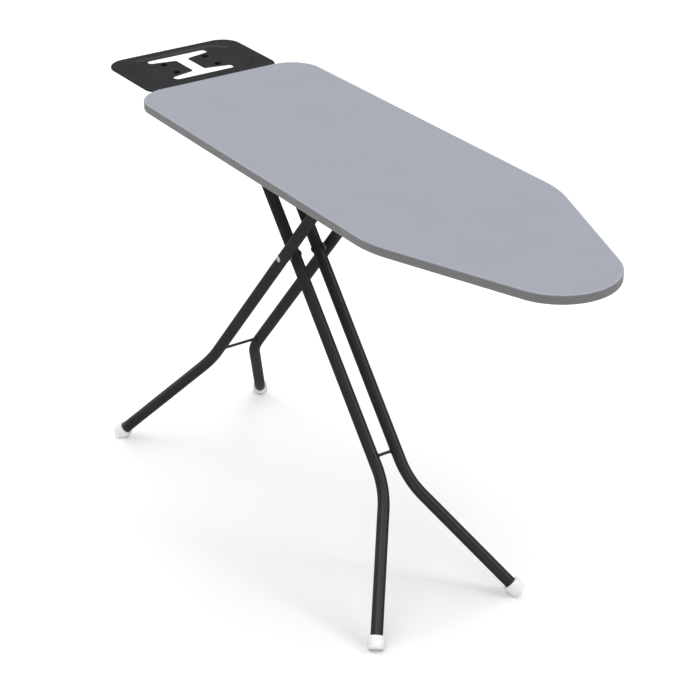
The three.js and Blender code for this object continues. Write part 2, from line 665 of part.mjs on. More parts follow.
class Helix extends THREE.Curve {
  getPoint(t) {
    const angle = 2 * Math.PI * SPRING.turns * t + Math.PI / 2;
    return new THREE.Vector3(
      SLIDE_X + SPRING.coilRadius * Math.cos(angle),
      SPRING.firstY + SPRING.pitch * SPRING.turns * t,
      TOP_AXIS_Z + SPRING.coilRadius * Math.sin(angle),
    );
  }
}

function makeLock() {
  const stripTop = HARDWARE_TOP;
  const stripBottom = stripTop - STRIP.thickness;
  const strip = box(STRIP.rear, STRIP.front, -STRIP.halfWidth, STRIP.halfWidth, stripBottom, stripTop);
  addPiece('lock_strip', cut(strip, ...stripScrews.map(screwHole)), ZINC);
  addScrews('lock_strip_screw', stripScrews);

  const lobeHeight = stripBottom - GAP - TOP_AXIS_Z - CAM_LOBE_RADIUS;
  const boss = LEVER_ROD_RADIUS + GAP + 3.2;
  const arm = belt([{ x: 0, y: 0, r: CAM_HUB_RADIUS }, { x: LEVER_REACH, y: -LEVER_DROP, r: boss }]);
  const lobe = belt([{ x: 0, y: 0, r: CAM_HUB_RADIUS }, { x: 0, y: lobeHeight, r: CAM_LOBE_RADIUS }]);
  const armBody = extrudeAlongY(arm, -CAM_HALF_WIDTH, CAM_HALF_WIDTH, 6);
  const lobeBody = extrudeAlongY(lobe, -CAM_HALF_WIDTH, CAM_HALF_WIDTH, 6);
  const bore = rodAlongY(0, 0, ROD_RADIUS + GAP, -40, 40);
  const rodHole = rodAlongY(LEVER_REACH, -LEVER_DROP, LEVER_ROD_RADIUS + GAP, -40, 40, 12);
  const cam = cut(join(armBody, lobeBody), bore, rodHole).translate(SLIDE_X, 0, TOP_AXIS_Z);
  addPiece('lock_cam', cam, BLACK_PLASTIC);

  const leverX = SLIDE_X + LEVER_REACH;
  const leverZ = TOP_AXIS_Z - LEVER_DROP;
  const leverRod = rodAlongY(leverX, leverZ, LEVER_ROD_RADIUS, LEVER_ROD_END, CAM_HALF_WIDTH - 1, 12);
  addPiece('lever_rod', leverRod, ZINC);

  const grip = turnedAlongY([
    [0, GRIP.endY],
    [GRIP.radius - 2, GRIP.endY],
    [GRIP.radius, GRIP.endY + 3],
    [GRIP.radius - 1, (GRIP.endY + GRIP.innerY) / 2],
    [GRIP.radius, GRIP.innerY - 4],
    [GRIP.radius - 1.5, GRIP.innerY],
    [LEVER_ROD_RADIUS + GAP, GRIP.innerY],
    [LEVER_ROD_RADIUS + GAP, LEVER_ROD_END - GAP],
    [0, LEVER_ROD_END - GAP],
  ], 20).translate(leverX, 0, leverZ);
  addPiece('lever_grip', grip, BLACK_PLASTIC);

  const wire = new THREE.Shape();
  wire.absarc(0, 0, SPRING.wireRadius, 0, 2 * Math.PI, false);
  const spring = new THREE.ExtrudeGeometry(wire, {
    extrudePath: new Helix(),
    steps: SPRING.turns * 12,
    curveSegments: 3,
  });
  addPiece('lever_spring', spring, ZINC);
}

makeBoard();
makeIronRest();
makeInnerFrame();
makeOuterFrame();
makeHinge();
makeSlide();
makeLock();

export default root;
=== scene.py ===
import math
import random

import bmesh
import bpy
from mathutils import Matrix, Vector
from mathutils.geometry import delaunay_2d_cdt


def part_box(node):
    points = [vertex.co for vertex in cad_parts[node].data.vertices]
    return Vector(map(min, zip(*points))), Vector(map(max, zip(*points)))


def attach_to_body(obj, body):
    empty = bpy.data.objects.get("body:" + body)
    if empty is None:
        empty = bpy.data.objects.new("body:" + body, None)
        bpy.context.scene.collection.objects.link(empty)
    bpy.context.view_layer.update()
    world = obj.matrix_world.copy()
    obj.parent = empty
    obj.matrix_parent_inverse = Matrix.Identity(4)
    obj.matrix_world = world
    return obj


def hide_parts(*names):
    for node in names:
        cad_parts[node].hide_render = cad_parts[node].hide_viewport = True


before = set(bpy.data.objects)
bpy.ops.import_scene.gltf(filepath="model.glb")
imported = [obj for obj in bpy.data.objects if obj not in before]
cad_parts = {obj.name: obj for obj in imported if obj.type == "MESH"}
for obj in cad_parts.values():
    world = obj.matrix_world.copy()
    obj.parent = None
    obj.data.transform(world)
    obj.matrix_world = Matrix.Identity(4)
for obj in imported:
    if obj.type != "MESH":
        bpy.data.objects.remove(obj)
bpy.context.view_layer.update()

SCENE = bpy.context.scene
MM = 0.001
SIDES = (("left", 1), ("right", -1))
ALONG_Y = Vector((0, 1, 0))

# The layout frame of the solids: millimetres, with x from the board's rear edge.
SHIFT_X = -493.5
BOARD_TOP = 870.0
PAD_TOP = 868.9
DECK_TOP = 865.0
DECK_BOTTOM = 853.3
UNDERSIDE = 852.0

# The board's outline: three arcs a side, each (centre x, centre y, radius), and their tangents.
NOSE = (1090.0, 0.0, 110.0)
SHOULDER = (804.0, -11.3, 220.0)
REAR_CORNER = (69.0, 132.5, 69.0)
WIDEST_HALF_WIDTH = SHOULDER[1] + SHOULDER[2]

# The cover: its cloth, its rounded edge, and the hem with the drawcord in its casing.
CLOTH = 0.45
EDGE_RADIUS = 2.4
FACE_INSET = 9.0
CENTRE_LINE = (150.0, 1060.0)
CORD_INSET = 37.6
CORD_Z = 851.7
CORD_RADIUS = 1.05
CASING_RADIUS = 1.6
MOUTH_HALF_WIDTH = 9.0
STITCH_PITCH = 3.6
STITCH_LENGTH = 2.5
STITCH_INSET = 33.2

# The deck's vents, in rows that stop short of the edge where the board tapers.
VENT_RADIUS = 7.0
VENT_STATIONS = range(190, 1070, 120)
VENT_ROWS = (-140, -36, 36, 140)
VENT_MARGIN = 40
VENT_TAPER = 0.4

# The iron rest: a pressed sheet with a sunk pocket, an H-shaped opening and four studs.
REST_TOP = 865.0
REST_FLOOR = 862.0
REST_SHEET = 1.3
REST_CORNERS = ((-213, -152, 44), (-1.5, -152, 34), (-1.5, 152, 34), (-213, 152, 44))
POCKET_REAR, POCKET_FRONT, POCKET_HALF_WIDTH = -189.0, -25.5, 120.0
POCKET_CHAMFER = 30.0
OPENING_X = -115.0
OPENING_QUARTER = ((65.0, 69.0, 7.8), (47.4, 69.0, 7.2), (35.4, 13.5, 5.5))
STUD_X = (-138.5, -85.5)
STUD_Y = (49, -49)
STUD_RADIUS = 6.4

# The stand: two frames of bent tube, crossed at the pivot.
TUBE_RADIUS = 12.0
TUBE_WALL = 1.2
STAND_ANGLE = math.radians(50)
PIVOT = (326.0, 601.5)
TOP_AXIS_Z = 835.0
BEND_RADIUS = 180.0
FOOT_Z = 13.0
CAP_RADIUS = 16.8
CROSSBAR_HALF = 70.0
STRETCHER_RADIUS = 3.0
RIVET_RADIUS = 4.0
ROD_RADIUS = 5.0
ROD_HALF = 84.0
INNER = {"slope": 1, "y": 27.6, "bend_z": 223.5, "foot_y": 168.0, "stretcher_z": 272.0}
OUTER = {"slope": -1, "y": 53.1, "bend_z": 242.5, "foot_y": 183.0, "stretcher_z": 278.0}
ARM_REACH = (TOP_AXIS_Z - PIVOT[1]) / math.sin(STAND_ANGLE)
HINGE_X = PIVOT[0] - ARM_REACH * math.cos(STAND_ANGLE)
SLIDE_X = PIVOT[0] + ARM_REACH * math.cos(STAND_ANGLE)
LEVER_X = SLIDE_X + 60
LEVER_Z = TOP_AXIS_Z - 30


def at(x, y, z):
    """A point of the layout frame, in the row frame and in metres."""
    return Vector(((x + SHIFT_X) * MM, y * MM, z * MM))


def around(count):
    """Equal angles round a full turn."""
    return [2 * math.pi * k / count for k in range(count)]


def smooth(t):
    """0 below 0, 1 above 1, and an even S between."""
    t = max(0.0, min(1.0, t))
    return t * t * (3 - 2 * t)


# ---------------------------------------------------------------- camera

camera_data = bpy.data.cameras.new("camera")
camera_data.sensor_width = 36.0
camera_data.lens = 103.25
camera = bpy.data.objects.new("camera", camera_data)
camera.location = (2.88169, -1.94907, 2.28445)
camera.rotation_euler = (math.radians(62.24), 0.0, math.radians(56.04))
SCENE.collection.objects.link(camera)
SCENE.camera = camera


# ---------------------------------------------------------------- material nodes

def new_material(name, color, roughness, metallic=0.0, **sockets):
    mat = bpy.data.materials.new(name)
    mat.use_nodes = True
    shader = mat.node_tree.nodes["Principled BSDF"]
    shader.inputs["Base Color"].default_value = (*color, 1.0)
    shader.inputs["Roughness"].default_value = roughness
    shader.inputs["Metallic"].default_value = metallic
    for key, value in sockets.items():
        shader.inputs[key.replace("_", " ")].default_value = value
    return mat


def link(mat, source, target):
    mat.node_tree.links.new(source, target)


def shader_input(mat, name):
    return mat.node_tree.nodes["Principled BSDF"].inputs[name]


def add_node(mat, kind, links=(), **settings):
    """A node with its settings and socket values, and links to (socket name, source) pairs."""
    node = mat.node_tree.nodes.new(kind)
    for key, value in settings.items():
        socket = key.replace("_", " ")
        if socket in node.inputs:
            node.inputs[socket].default_value = value
        else:
            setattr(node, key, value)
    for name, source in links:
        link(mat, source, node.inputs[name])
    return node


def object_coords(mat, scale=(1.0, 1.0, 1.0)):
    coords = add_node(mat, "ShaderNodeTexCoord").outputs["Object"]
    return add_node(mat, "ShaderNodeMapping", [("Vector", coords)], Scale=scale).outputs["Vector"]


def noise(mat, scale, detail=4.0, roughness=0.55):
    """Noise of one scale, or of a scale for each axis where the grain is drawn out."""
    axes, overall = (scale, 1.0) if isinstance(scale, tuple) else ((1.0, 1.0, 1.0), scale)
    node = add_node(mat, "ShaderNodeTexNoise", [("Vector", object_coords(mat, axes))],
                    Scale=overall, Detail=detail, Roughness=roughness)
    return node.outputs["Fac"]


def bands(mat, direction, period):
    """Slightly wavy stripes across one direction, a period apart in metres."""
    node = add_node(mat, "ShaderNodeTexWave", [("Vector", object_coords(mat))], wave_type="BANDS",
                    bands_direction=direction, Scale=2 * math.pi / (20 * period), Distortion=0.6, Detail=1.0)
    return node.outputs["Fac"]


def ramp(mat, value, color, *stops):
    """The color, made darker or lighter along the value by (place, factor) stops."""
    node = add_node(mat, "ShaderNodeValToRGB", [("Fac", value)])
    elements = node.color_ramp.elements
    while len(elements) < len(stops):
        elements.new(0.5)
    for element, (place, factor) in zip(elements, stops):
        element.position = place
        element.color = (*(min(1.0, c * factor) for c in color), 1.0)
    return node.outputs["Color"]


def spread(mat, value, low, high):
    """A 0 to 1 value spread over low to high."""
    settings = {"To Min": low, "To Max": high}
    return add_node(mat, "ShaderNodeMapRange", [("Value", value)], **settings).outputs["Result"]


def combine(mat, operation, a, b):
    node = add_node(mat, "ShaderNodeMath", operation=operation)
    for socket, value in zip(node.inputs, (a, b)):
        if isinstance(value, (int, float)):
            socket.default_value = value
        else:
            link(mat, value, socket)
    return node.outputs["Value"]


def weighted(mat, *terms):
    """The sum of (value, weight) terms."""
    total = None
    for value, weight in terms:
        part = value if weight == 1 else combine(mat, "MULTIPLY", value, weight)
        total = part if total is None else combine(mat, "ADD", total, part)
    return total


def blend_colors(mat, attribute, a, b):
    """From color a to color b, as the mesh's painted attribute says."""
    amount = add_node(mat, "ShaderNodeAttribute", attribute_name=attribute).outputs["Fac"]
    node = add_node(mat, "ShaderNodeMix", data_type="RGBA")
    for name, source in (("Factor", amount), ("A", a), ("B", b)):
        link(mat, source, node.inputs[name])
    return node.outputs["Result"]


def color_by(mat, value, color, *stops):
    link(mat, ramp(mat, value, color, *stops), shader_input(mat, "Base Color"))


def roughness_by(mat, value, low, high):
    link(mat, spread(mat, value, low, high), shader_input(mat, "Roughness"))


def bump(mat, height, strength, distance):
    node = add_node(mat, "ShaderNodeBump", [("Height", height)], Strength=strength, Distance=distance)
    link(mat, node.outputs["Normal"], shader_input(mat, "Normal"))


# ---------------------------------------------------------------- materials

def woven(name, color, plain_shaded_color, thread, depth, contrast=0.1):
    """A plain weave with slubs and soft mottling: a coated ironing face, plain cloth round the
    skirt and hem made darker as painted shade, and a painted highlight along the rounded edge."""
    mat = new_material(name, color, 0.86, Sheen_Weight=0.25, Sheen_Roughness=0.45,
                       Specular_IOR_Level=0.25)
    crossing = [(bands(mat, d, thread * share), 1) for d, share in (("X", 1), ("Y", 0.93), ("Z", 0.93))]
    threads = spread(mat, combine(mat, "MULTIPLY", weighted(mat, *crossing), 1 / 3), 0.0, 1.0)
    slubs = noise(mat, (900.0, 140.0, 500.0), 2.0)
    mixed = weighted(mat, (threads, 0.5), (slubs, 0.3), (noise(mat, 9.0, 3.0), 0.2))
    coated, plain = (
        ramp(mat, mixed, c, (0.25, 1 - contrast), (0.75, 1 + contrast)) for c in (color, plain_shaded_color)
    )
    # A painted highlight colour, lighter than the face, for the rounded top edge.
    pale = ramp(mat, slubs, color, (0.3, 1.1), (0.7, 1.34))
    # The skirt and hem get the darker plain colour as painted shade; the face gets the coated colour.
    shade = blend_colors(mat, "coating_and_side_shade", plain, coated)
    link(mat, blend_colors(mat, "edge_highlight", shade, pale), shader_input(mat, "Base Color"))
    roughness_by(mat, slubs, 0.8, 0.95)
    bump(mat, weighted(mat, (threads, 1), (slubs, 0.6)), 0.55, depth)
    return mat


def felted(name, color):
    """Needled felt: short fibres, gathered in clumps."""
    mat = new_material(name, color, 0.95, Sheen_Weight=0.3, Specular_IOR_Level=0.2)
    fibres = noise(mat, (1400.0, 500.0, 900.0), 5.0, 0.7)
    mixed = weighted(mat, (fibres, 0.6), (noise(mat, 120.0, 3.0), 0.4))
    color_by(mat, mixed, color, (0.3, 0.75), (0.55, 1), (0.75, 1.2))
    bump(mat, mixed, 0.8, 0.0008)
    return mat


def powder_coat(name, color, roughness, grain=2600.0, shine=0.3):
    """Satin powder coat: a very fine orange peel, dust in the low spots and faint rubbing."""
    mat = new_material(name, color, roughness, Specular_IOR_Level=shine)
    rubbed = noise(mat, (14.0, 14.0, 5.0), 6.0, 0.65)
    color_by(mat, rubbed, color, (0.3, 0.86), (0.55, 1), (0.8, 1.22))
    roughness_by(mat, rubbed, roughness - 0.07, roughness + 0.09)
    peel = combine(mat, "ADD", noise(mat, grain, 2.0), noise(mat, grain * 0.18, 2.0))
    bump(mat, peel, 0.22, 0.0002)
    return mat


def zinc_plate(name, color, roughness, drawn=(60.0, 900.0, 900.0)):
    """Dulled zinc plate over drawn or rolled steel: fine lines, spangle and dull patches."""
    mat = new_material(name, color, roughness, 0.55)
    patches = noise(mat, 45.0, 4.0, 0.6)
    cells = add_node(mat, "ShaderNodeTexVoronoi", [("Vector", object_coords(mat))], Scale=260.0)
    spangle = spread(mat, cells.outputs["Distance"], 0.0, 0.6)
    mixed = weighted(mat, (patches, 0.65), (spangle, 0.35))
    color_by(mat, mixed, color, (0.2, 0.72), (0.5, 1), (0.8, 1.18))
    roughness_by(mat, patches, roughness - 0.09, roughness + 0.16)
    bump(mat, weighted(mat, (noise(mat, drawn, 3.0), 1), (patches, 0.5)), 0.2, 0.0002)
    return mat


def moulded(name, color, roughness, grain=1800.0, scuff=0.06, shine=0.45):
    """Moulded plastic: fine spark-eroded grain, flow marks and a few scuffs."""
    mat = new_material(name, color, roughness, Specular_IOR_Level=shine)
    flow = noise(mat, (40.0, 40.0, 18.0))
    color_by(mat, flow, color, (0.3, 1 - scuff), (0.7, 1 + scuff))
    roughness_by(mat, flow, roughness - 0.08, roughness + 0.08)
    bump(mat, noise(mat, grain, 2.0), 0.3, 0.00015)
    return mat


def fibreboard(name, color):
    """Pressed wood fibre: flecks of light and dark fibre, a screen pattern and open pores."""
    mat = new_material(name, color, 0.82, Specular_IOR_Level=0.3)
    long_fibres = noise(mat, (160.0, 1100.0, 700.0), 5.0, 0.7)
    cross_fibres = noise(mat, (1100.0, 200.0, 700.0), 4.0, 0.7)
    mixed = weighted(mat, (long_fibres, 0.4), (cross_fibres, 0.35), (noise(mat, 22.0), 0.25))
    color_by(mat, mixed, color, (0.32, 0.55), (0.47, 0.9), (0.58, 1), (0.72, 1.45))
    screen = combine(mat, "MULTIPLY", bands(mat, "X", 0.0016), bands(mat, "Y", 0.0016))
    bump(mat, weighted(mat, (mixed, 1), (screen, 0.35)), 0.5, 0.0005)
    return mat


def braided(name, color):
    """Thread or cord: strands that cross on the slant."""
    mat = new_material(name, color, 0.8, Sheen_Weight=0.2)
    plait = combine(mat, "MULTIPLY", bands(mat, "DIAGONAL", 0.0011), bands(mat, "X", 0.0009))
    color_by(mat, plait, color, (0.1, 0.6), (0.6, 1))
    bump(mat, plait, 0.7, 0.0004)
    return mat


# The second colour, for the skirt and hem, is darker than the face as painted shade.
COVER = woven("cover_cotton", (0.272, 0.278, 0.303), (0.194, 0.191, 0.189), 0.00062, 0.00022)
STITCH = braided("sewing_thread", (0.30, 0.31, 0.35))
FELT = felted("needled_felt", (0.66, 0.63, 0.57))
CORD = braided("drawcord_braid", (0.74, 0.72, 0.66))
BOARD = fibreboard("hardboard", (0.36, 0.22, 0.115))
BLACK_TUBE = powder_coat("black_tube_coat", (0.031, 0.031, 0.0314), 0.34, shine=0.3)
BLACK_SHEET = powder_coat("black_sheet_coat", (0.0115, 0.0115, 0.0118), 0.48, 1500.0, 0.25)
ZINC = zinc_plate("zinc_plate", (0.70, 0.715, 0.73), 0.36)
ZINC_ROD = zinc_plate("zinc_drawn_rod", (0.74, 0.75, 0.765), 0.29, (900.0, 45.0, 900.0))
NICKEL = zinc_plate("nickel_rivet", (0.93, 0.93, 0.935), 0.55)
WELD = powder_coat("black_weld", (0.018, 0.018, 0.018), 0.42, 900.0)
WHITE = moulded("white_plastic", (0.93, 0.93, 0.925), 0.4, 1800.0, 0.03)
NYLON = moulded("nylon", (0.8, 0.79, 0.75), 0.38, 900.0)
BLACK = moulded("black_plastic", (0.016, 0.016, 0.017), 0.5, 1400.0, 0.25)
RUBBER = moulded("black_rubber", (0.0025, 0.0025, 0.0025), 0.75, 2400.0, 0.3, 0.03)


# ---------------------------------------------------------------- mesh helpers

def link_object(name, mesh, material):
    obj = bpy.data.objects.new(name, mesh)
    mesh.materials.clear()
    mesh.materials.append(material)
    SCENE.collection.objects.link(obj)
    return obj


def make_object(name, verts, faces, material):
    mesh = bpy.data.meshes.new(name)
    mesh.from_pydata([tuple(v) for v in verts], [], faces)
    mesh.update()
    return link_object(name, mesh, material)


def object_from(bm, name, material):
    mesh = bpy.data.meshes.new(name)
    bm.to_mesh(mesh)
    bm.free()
    return link_object(name, mesh, material)


def soften(obj, degrees=38.0):
    """Smooth shading, with creases kept sharp."""
    obj.data.shade_smooth()
    obj.data.set_sharp_from_angle(angle=math.radians(degrees))
    return obj


def clean(obj, merge=1e-7):
    """Welds doubled points and turns every face outwards."""
    bm = bmesh.new()
    bm.from_mesh(obj.data)
    bmesh.ops.remove_doubles(bm, verts=bm.verts, dist=merge)
    bmesh.ops.dissolve_degenerate(bm, dist=merge, edges=bm.edges)
    bmesh.ops.recalc_face_normals(bm, faces=bm.faces)
    bm.to_mesh(obj.data)
    bm.free()
    obj.data.update()
    return obj


def face_up(bm):
    """Turns an open sheet so that its largest face looks up."""
    bmesh.ops.recalc_face_normals(bm, faces=bm.faces)
    if max(bm.faces, key=lambda f: f.calc_area()).normal.z < 0:
        bmesh.ops.reverse_faces(bm, faces=bm.faces)


def settle(obj):
    """Applies the object's modifiers to its mesh."""
    depsgraph = bpy.context.evaluated_depsgraph_get()
    mesh = bpy.data.meshes.new_from_object(obj.evaluated_get(depsgraph))
    old = obj.data
    obj.modifiers.clear()
    obj.data = mesh
    bpy.data.meshes.remove(old)
    return obj


def thicken(obj, thickness):
    """Gives a sheet its thickness, on the side that its faces turn away from."""
    wall = obj.modifiers.new("sheet", "SOLIDIFY")
    wall.thickness = thickness * MM
    wall.offset = -1.0
    return settle(obj)


def subtract(obj, *cutters):
    for cutter in cutters:
        modifier = obj.modifiers.new("cut", "BOOLEAN")
        modifier.operation = "DIFFERENCE"
        modifier.solver = "EXACT"
        modifier.object = cutter
    settle(obj)
    for cutter in cutters:
        bpy.data.objects.remove(cutter)
    return obj


def attach(obj, body, slot, *nodes):
    """Rides the piece on a body, in place of the nodes it stands for. The slot is not used."""
    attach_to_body(obj, body)
    if nodes:
        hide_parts(*nodes)
    return obj


def loft(rings, closed_ends=True, loop=False):
    """Vertices and faces of a skin over equal rings of points."""
    count = len(rings[0])
    verts = [p for ring in rings for p in ring]
    faces = []
    last = len(rings) if loop else len(rings) - 1
    for i in range(last):
        a, b = i * count, ((i + 1) % len(rings)) * count
        for j in range(count):
            k = (j + 1) % count
            faces.append((a + j, a + k, b + k, b + j))
    if closed_ends and not loop:
        faces.append(tuple(reversed(range(count))))
        faces.append(tuple(range((len(rings) - 1) * count, len(rings) * count)))
    return verts, faces


def frames_along(points, loop=False):
    """A pair of cross directions at each point, turned as little as possible along the line."""
    tangents = []
    count = len(points)
    for i in range(count):
        before = points[(i - 1) % count] if loop or i else points[0]
        after = points[(i + 1) % count] if loop or i < count - 1 else points[-1]
        tangents.append((after - before).normalized())
    side = tangents[0].orthogonal().normalized()
    frames = []
    for tangent in tangents:
        side = (side - tangent * side.dot(tangent)).normalized()
        frames.append((side, tangent.cross(side)))
    return frames


def ring_at(point, axes, radius, sides):
    u, v = axes
    return [point + (u * math.cos(a) + v * math.sin(a)) * radius for a in around(sides)]


def tube(name, points, radii, material, sides=24, loop=False):
    """A solid round bar along points; radii is one number or one per point, in metres."""
    rings = []
    for i, (point, axes) in enumerate(zip(points, frames_along(points, loop))):
        radius = radii if isinstance(radii, float) else radii[i]
        rings.append(ring_at(point, axes, radius, sides))
    verts, faces = loft(rings, loop=loop)
    return soften(clean(make_object(name, verts, faces, material)))


def rounded_profile(points, steps):
    """Rounds the corners of an open profile of (x, y) or (x, y, corner radius) points."""
    result = []
    for i, (x, y, *corner) in enumerate(points):
        if not any(corner) or i in (0, len(points) - 1):
            result.append((x, y))
            continue
        here = Vector((x, y))
        before, after = Vector(points[i - 1][:2]) - here, Vector(points[i + 1][:2]) - here
        start = here + before.normalized() * min(corner[0], before.length * 0.49)
        end = here + after.normalized() * min(corner[0], after.length * 0.49)
        for k in range(steps + 1):
            t = k / steps
            result.append(tuple(start * (1 - t) ** 2 + here * 2 * t * (1 - t) + end * t ** 2))
    return result


def turned(name, profile, origin, axis, material, sides=40, steps=4):
    """A body of revolution round an axis. The profile runs from one end round to the other, each
    point (radius, height along the axis) or (radius, height, corner radius), in millimetres."""
    axis = axis.normalized()
    u = axis.orthogonal().normalized()
    rings = [
        ring_at(origin + axis * (height * MM), (u, axis.cross(u)), max(radius, 0.0) * MM, sides)
        for radius, height in rounded_profile(profile, steps)
    ]
    ends_on_axis = max(profile[0][0], profile[-1][0]) <= 1e-6
    verts, faces = loft(rings, closed_ends=False, loop=not ends_on_axis)
    return soften(clean(make_object(name, verts, faces, material)))


def bar(name, x, z, radius, y0, y1, material, chamfer=0.6, sides=40):
    """A round bar along Y."""
    length = y1 - y0
    profile = [(0.0, 0.0), (radius, 0.0, chamfer), (radius, length, chamfer), (0.0, length)]
    return turned(name, profile, at(x, y0, z), ALONG_Y, material, sides)


def flat_outline(corners, segments=8):
    """Points and outward normals round a counter-clockwise polygon of (x, y, corner radius)."""
    points, normals = [], []
    count = len(corners)
    for i, (x, y, r) in enumerate(corners):
        here = Vector((x, y))
        before = Vector(corners[i - 1][:2])
        after = Vector(corners[(i + 1) % count][:2])
        into = (here - before).normalized()
        out = (after - here).normalized()
        turn = math.atan2(into.x * out.y - into.y * out.x, into.dot(out))
        reach = r * math.tan(abs(turn) / 2)
        sign = 1 if turn > 0 else -1
        centre = here - into * reach + Vector((-into.y, into.x)) * r * sign
        for k in range(segments + 1):
            angle = math.atan2(-into.x, into.y) + turn * k / segments
            normal = Vector((math.cos(angle), math.sin(angle)))
            points.append(centre + normal * r * sign)
            normals.append(normal)
    return points, normals


def circle(x, y, radius, count=28):
    return [(x + radius * math.cos(a), y + radius * math.sin(a)) for a in around(count)]


def inside(point, polygon):
    x, y = point
    hit = False
    j = len(polygon) - 1
    for i in range(len(polygon)):
        xi, yi = polygon[i]
        xj, yj = polygon[j]
        if (yi > y) != (yj > y) and x < (xj - xi) * (y - yi) / (yj - yi) + xi:
            hit = not hit
        j = i
    return hit


def triangulated(outline, holes, extra=()):
    """Points and triangles of a flat region, and each ring's points by number; extra holds closed
    lines that the triangles follow."""
    coords, edges, rings = [], [], []
    for ring in (outline, *holes, *extra):
        start = len(coords)
        coords.extend(Vector((p[0], p[1])) for p in ring)
        edges.extend((start + i, start + (i + 1) % len(ring)) for i in range(len(ring)))
        rings.append(range(start, len(coords)))
    points, _, triangles, origins, _, _ = delaunay_2d_cdt(coords, edges, [], 1, 1e-5)
    found = {source: i for i, sources in enumerate(origins) for source in sources}
    kept = []
    for tri in triangles:
        middle = sum((points[i] for i in tri), Vector((0, 0))) / 3
        if not any(inside(middle, hole) for hole in holes):
            a, b, c = (points[i] for i in tri)
            flip = (b - a).cross(c - a) < 0
            kept.append(tuple(reversed(tri)) if flip else tuple(tri))
    return points, kept, [[found[i] for i in ring] for ring in rings]


def pierced_slab(name, samples, inset, holes, z0, z1, material, edge=0.4):
    """A flat slab inside the board's outline, with round holes and broken edges; each hole is
    (x, y, radius)."""
    arc = []
    for k in range(5):
        a = math.pi / 2 * k / 4
        arc.append((edge * (1 - math.sin(a)), z1 - edge * (1 - math.cos(a))))
    profile = arc + [(d, z0 + z1 - z) for d, z in reversed(arc)]
    rim = inset_outline(samples, inset + edge)
    circles = [circle(x, y, r + edge) for x, y, r in holes]
    points, triangles, (rim_ids, *hole_ids) = triangulated(rim, circles)
    bm = bmesh.new()
    top = [bm.verts.new(at(p.x, p.y, z1)) for p in points]
    bottom = [bm.verts.new(at(p.x, p.y, z0)) for p in points]
    for a, b, c in triangles:
        bm.faces.new((top[a], top[b], top[c]))
        bm.faces.new((bottom[c], bottom[b], bottom[a]))

    def wall(ids, rings):
        row = [top[i] for i in ids]
        rows = [[bm.verts.new(p) for p in ring] for ring in rings[1:-1]]
        rows.append([bottom[i] for i in ids])
        for new in rows:
            for j in range(len(row)):
                k = (j + 1) % len(row)
                bm.faces.new((row[k], row[j], new[j], new[k]))
            row = new

    wall(rim_ids, [[at(*p, z) for p in inset_outline(samples, inset + d)] for d, z in profile])
    for (x, y, r), ids in zip(holes, hole_ids):
        wall(ids, [[at(*p, z) for p in circle(x, y, r + d)] for d, z in profile])
    bmesh.ops.recalc_face_normals(bm, faces=bm.faces)
    return soften(object_from(bm, name, material))


def dressed(node, material, body, slot, width=0.5, segments=2):
    """The node's shape with its corners rounded over, as pressed, sawn or moulded."""
    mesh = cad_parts[node].data.copy()
    obj = link_object(f"{node}_finished", mesh, material)
    bm = bmesh.new()
    bm.from_mesh(mesh)
    bmesh.ops.remove_doubles(bm, verts=bm.verts, dist=1e-6)
    bmesh.ops.dissolve_limit(bm, angle_limit=math.radians(1.0), verts=bm.verts, edges=bm.edges)
    bm.to_mesh(mesh)
    bm.free()
    bevel = obj.modifiers.new("edge", "BEVEL")
    bevel.width = width * MM
    bevel.segments = segments
    bevel.limit_method = "ANGLE"
    bevel.angle_limit = math.radians(40)
    bevel.harden_normals = False
    settle(obj)
    soften(obj, 30.0)
    return attach(obj, body, slot, node)


# ---------------------------------------------------------------- board outline

def half_outline(step):
    """(x, y, normal angle) from the nose tip round the left side to the middle of the rear edge."""
    circles = (NOSE, SHOULDER, REAR_CORNER)
    angles = [0.0]
    for (ax, ay, ar), (bx, by, br) in zip(circles, circles[1:]):
        heading = math.atan2(by - ay, bx - ax) % (2 * math.pi)
        angles.append(heading - math.acos((ar - br) / math.hypot(bx - ax, by - ay)))
    angles.append(math.pi)
    samples = []

    def add_line(x1, y1, angle):
        x0, y0, _ = samples[-1]
        pieces = max(1, round(math.dist((x0, y0), (x1, y1)) / step))
        for k in range(1, pieces):
            t = k / pieces
            samples.append((x0 + (x1 - x0) * t, y0 + (y1 - y0) * t, angle))

    for (cx, cy, r), start, end in zip(circles, angles, angles[1:]):
        if samples:
            add_line(cx + r * math.cos(start), cy + r * math.sin(start), start)
        pieces = max(6, round(r * (end - start) / (step * 0.8)))
        for k in range(pieces + 1):
            a = start + (end - start) * k / pieces
            samples.append((cx + r * math.cos(a), cy + r * math.sin(a), a))
    add_line(0.0, 0.0, math.pi)
    samples.append((0.0, 0.0, math.pi))
    return samples


def whole_outline(step):
    half = half_outline(step)
    back = [(x, -y, -a) for x, y, a in reversed(half[1:-1])]
    return half + back


def inset_outline(samples, inset):
    return [(x - inset * math.cos(a), y - inset * math.sin(a)) for x, y, a in samples]


def arc_lengths(samples):
    """How far round the outline each sample is, and the whole way round."""
    total, lengths = 0.0, [0.0]
    for p, q in zip(samples, samples[1:]):
        total += math.dist(p[:2], q[:2])
        lengths.append(total)
    return lengths, total + math.dist(samples[-1][:2], samples[0][:2])


# ---------------------------------------------------------------- board cover

OUTLINE = whole_outline(2.8)
LENGTHS, PERIMETER = arc_lengths(OUTLINE)
random.seed(11)


def random_waves(count, fewest, most):
    """Waves round the outline, each (how many, phase, share)."""
    return [
        (random.randint(fewest, most), random.uniform(0, 2 * math.pi), random.uniform(0.4, 1.0))
        for _ in range(count)
    ]


FOLDS = random_waves(9, 70, 210)
SWELLS = random_waves(7, 5, 40)


def periodic(waves, i):
    total = sum(w for _, _, w in waves)
    return sum(w * math.sin(2 * math.pi * k * LENGTHS[i] / PERIMETER + p) for k, p, w in waves) / total


def gather(i):
    """How much cloth the drawcord takes up: most round the nose and the rear corners."""
    x = OUTLINE[i][0]
    return 0.42 + 0.58 * max(smooth((x - 640) / 240), smooth((90 - x) / 80))


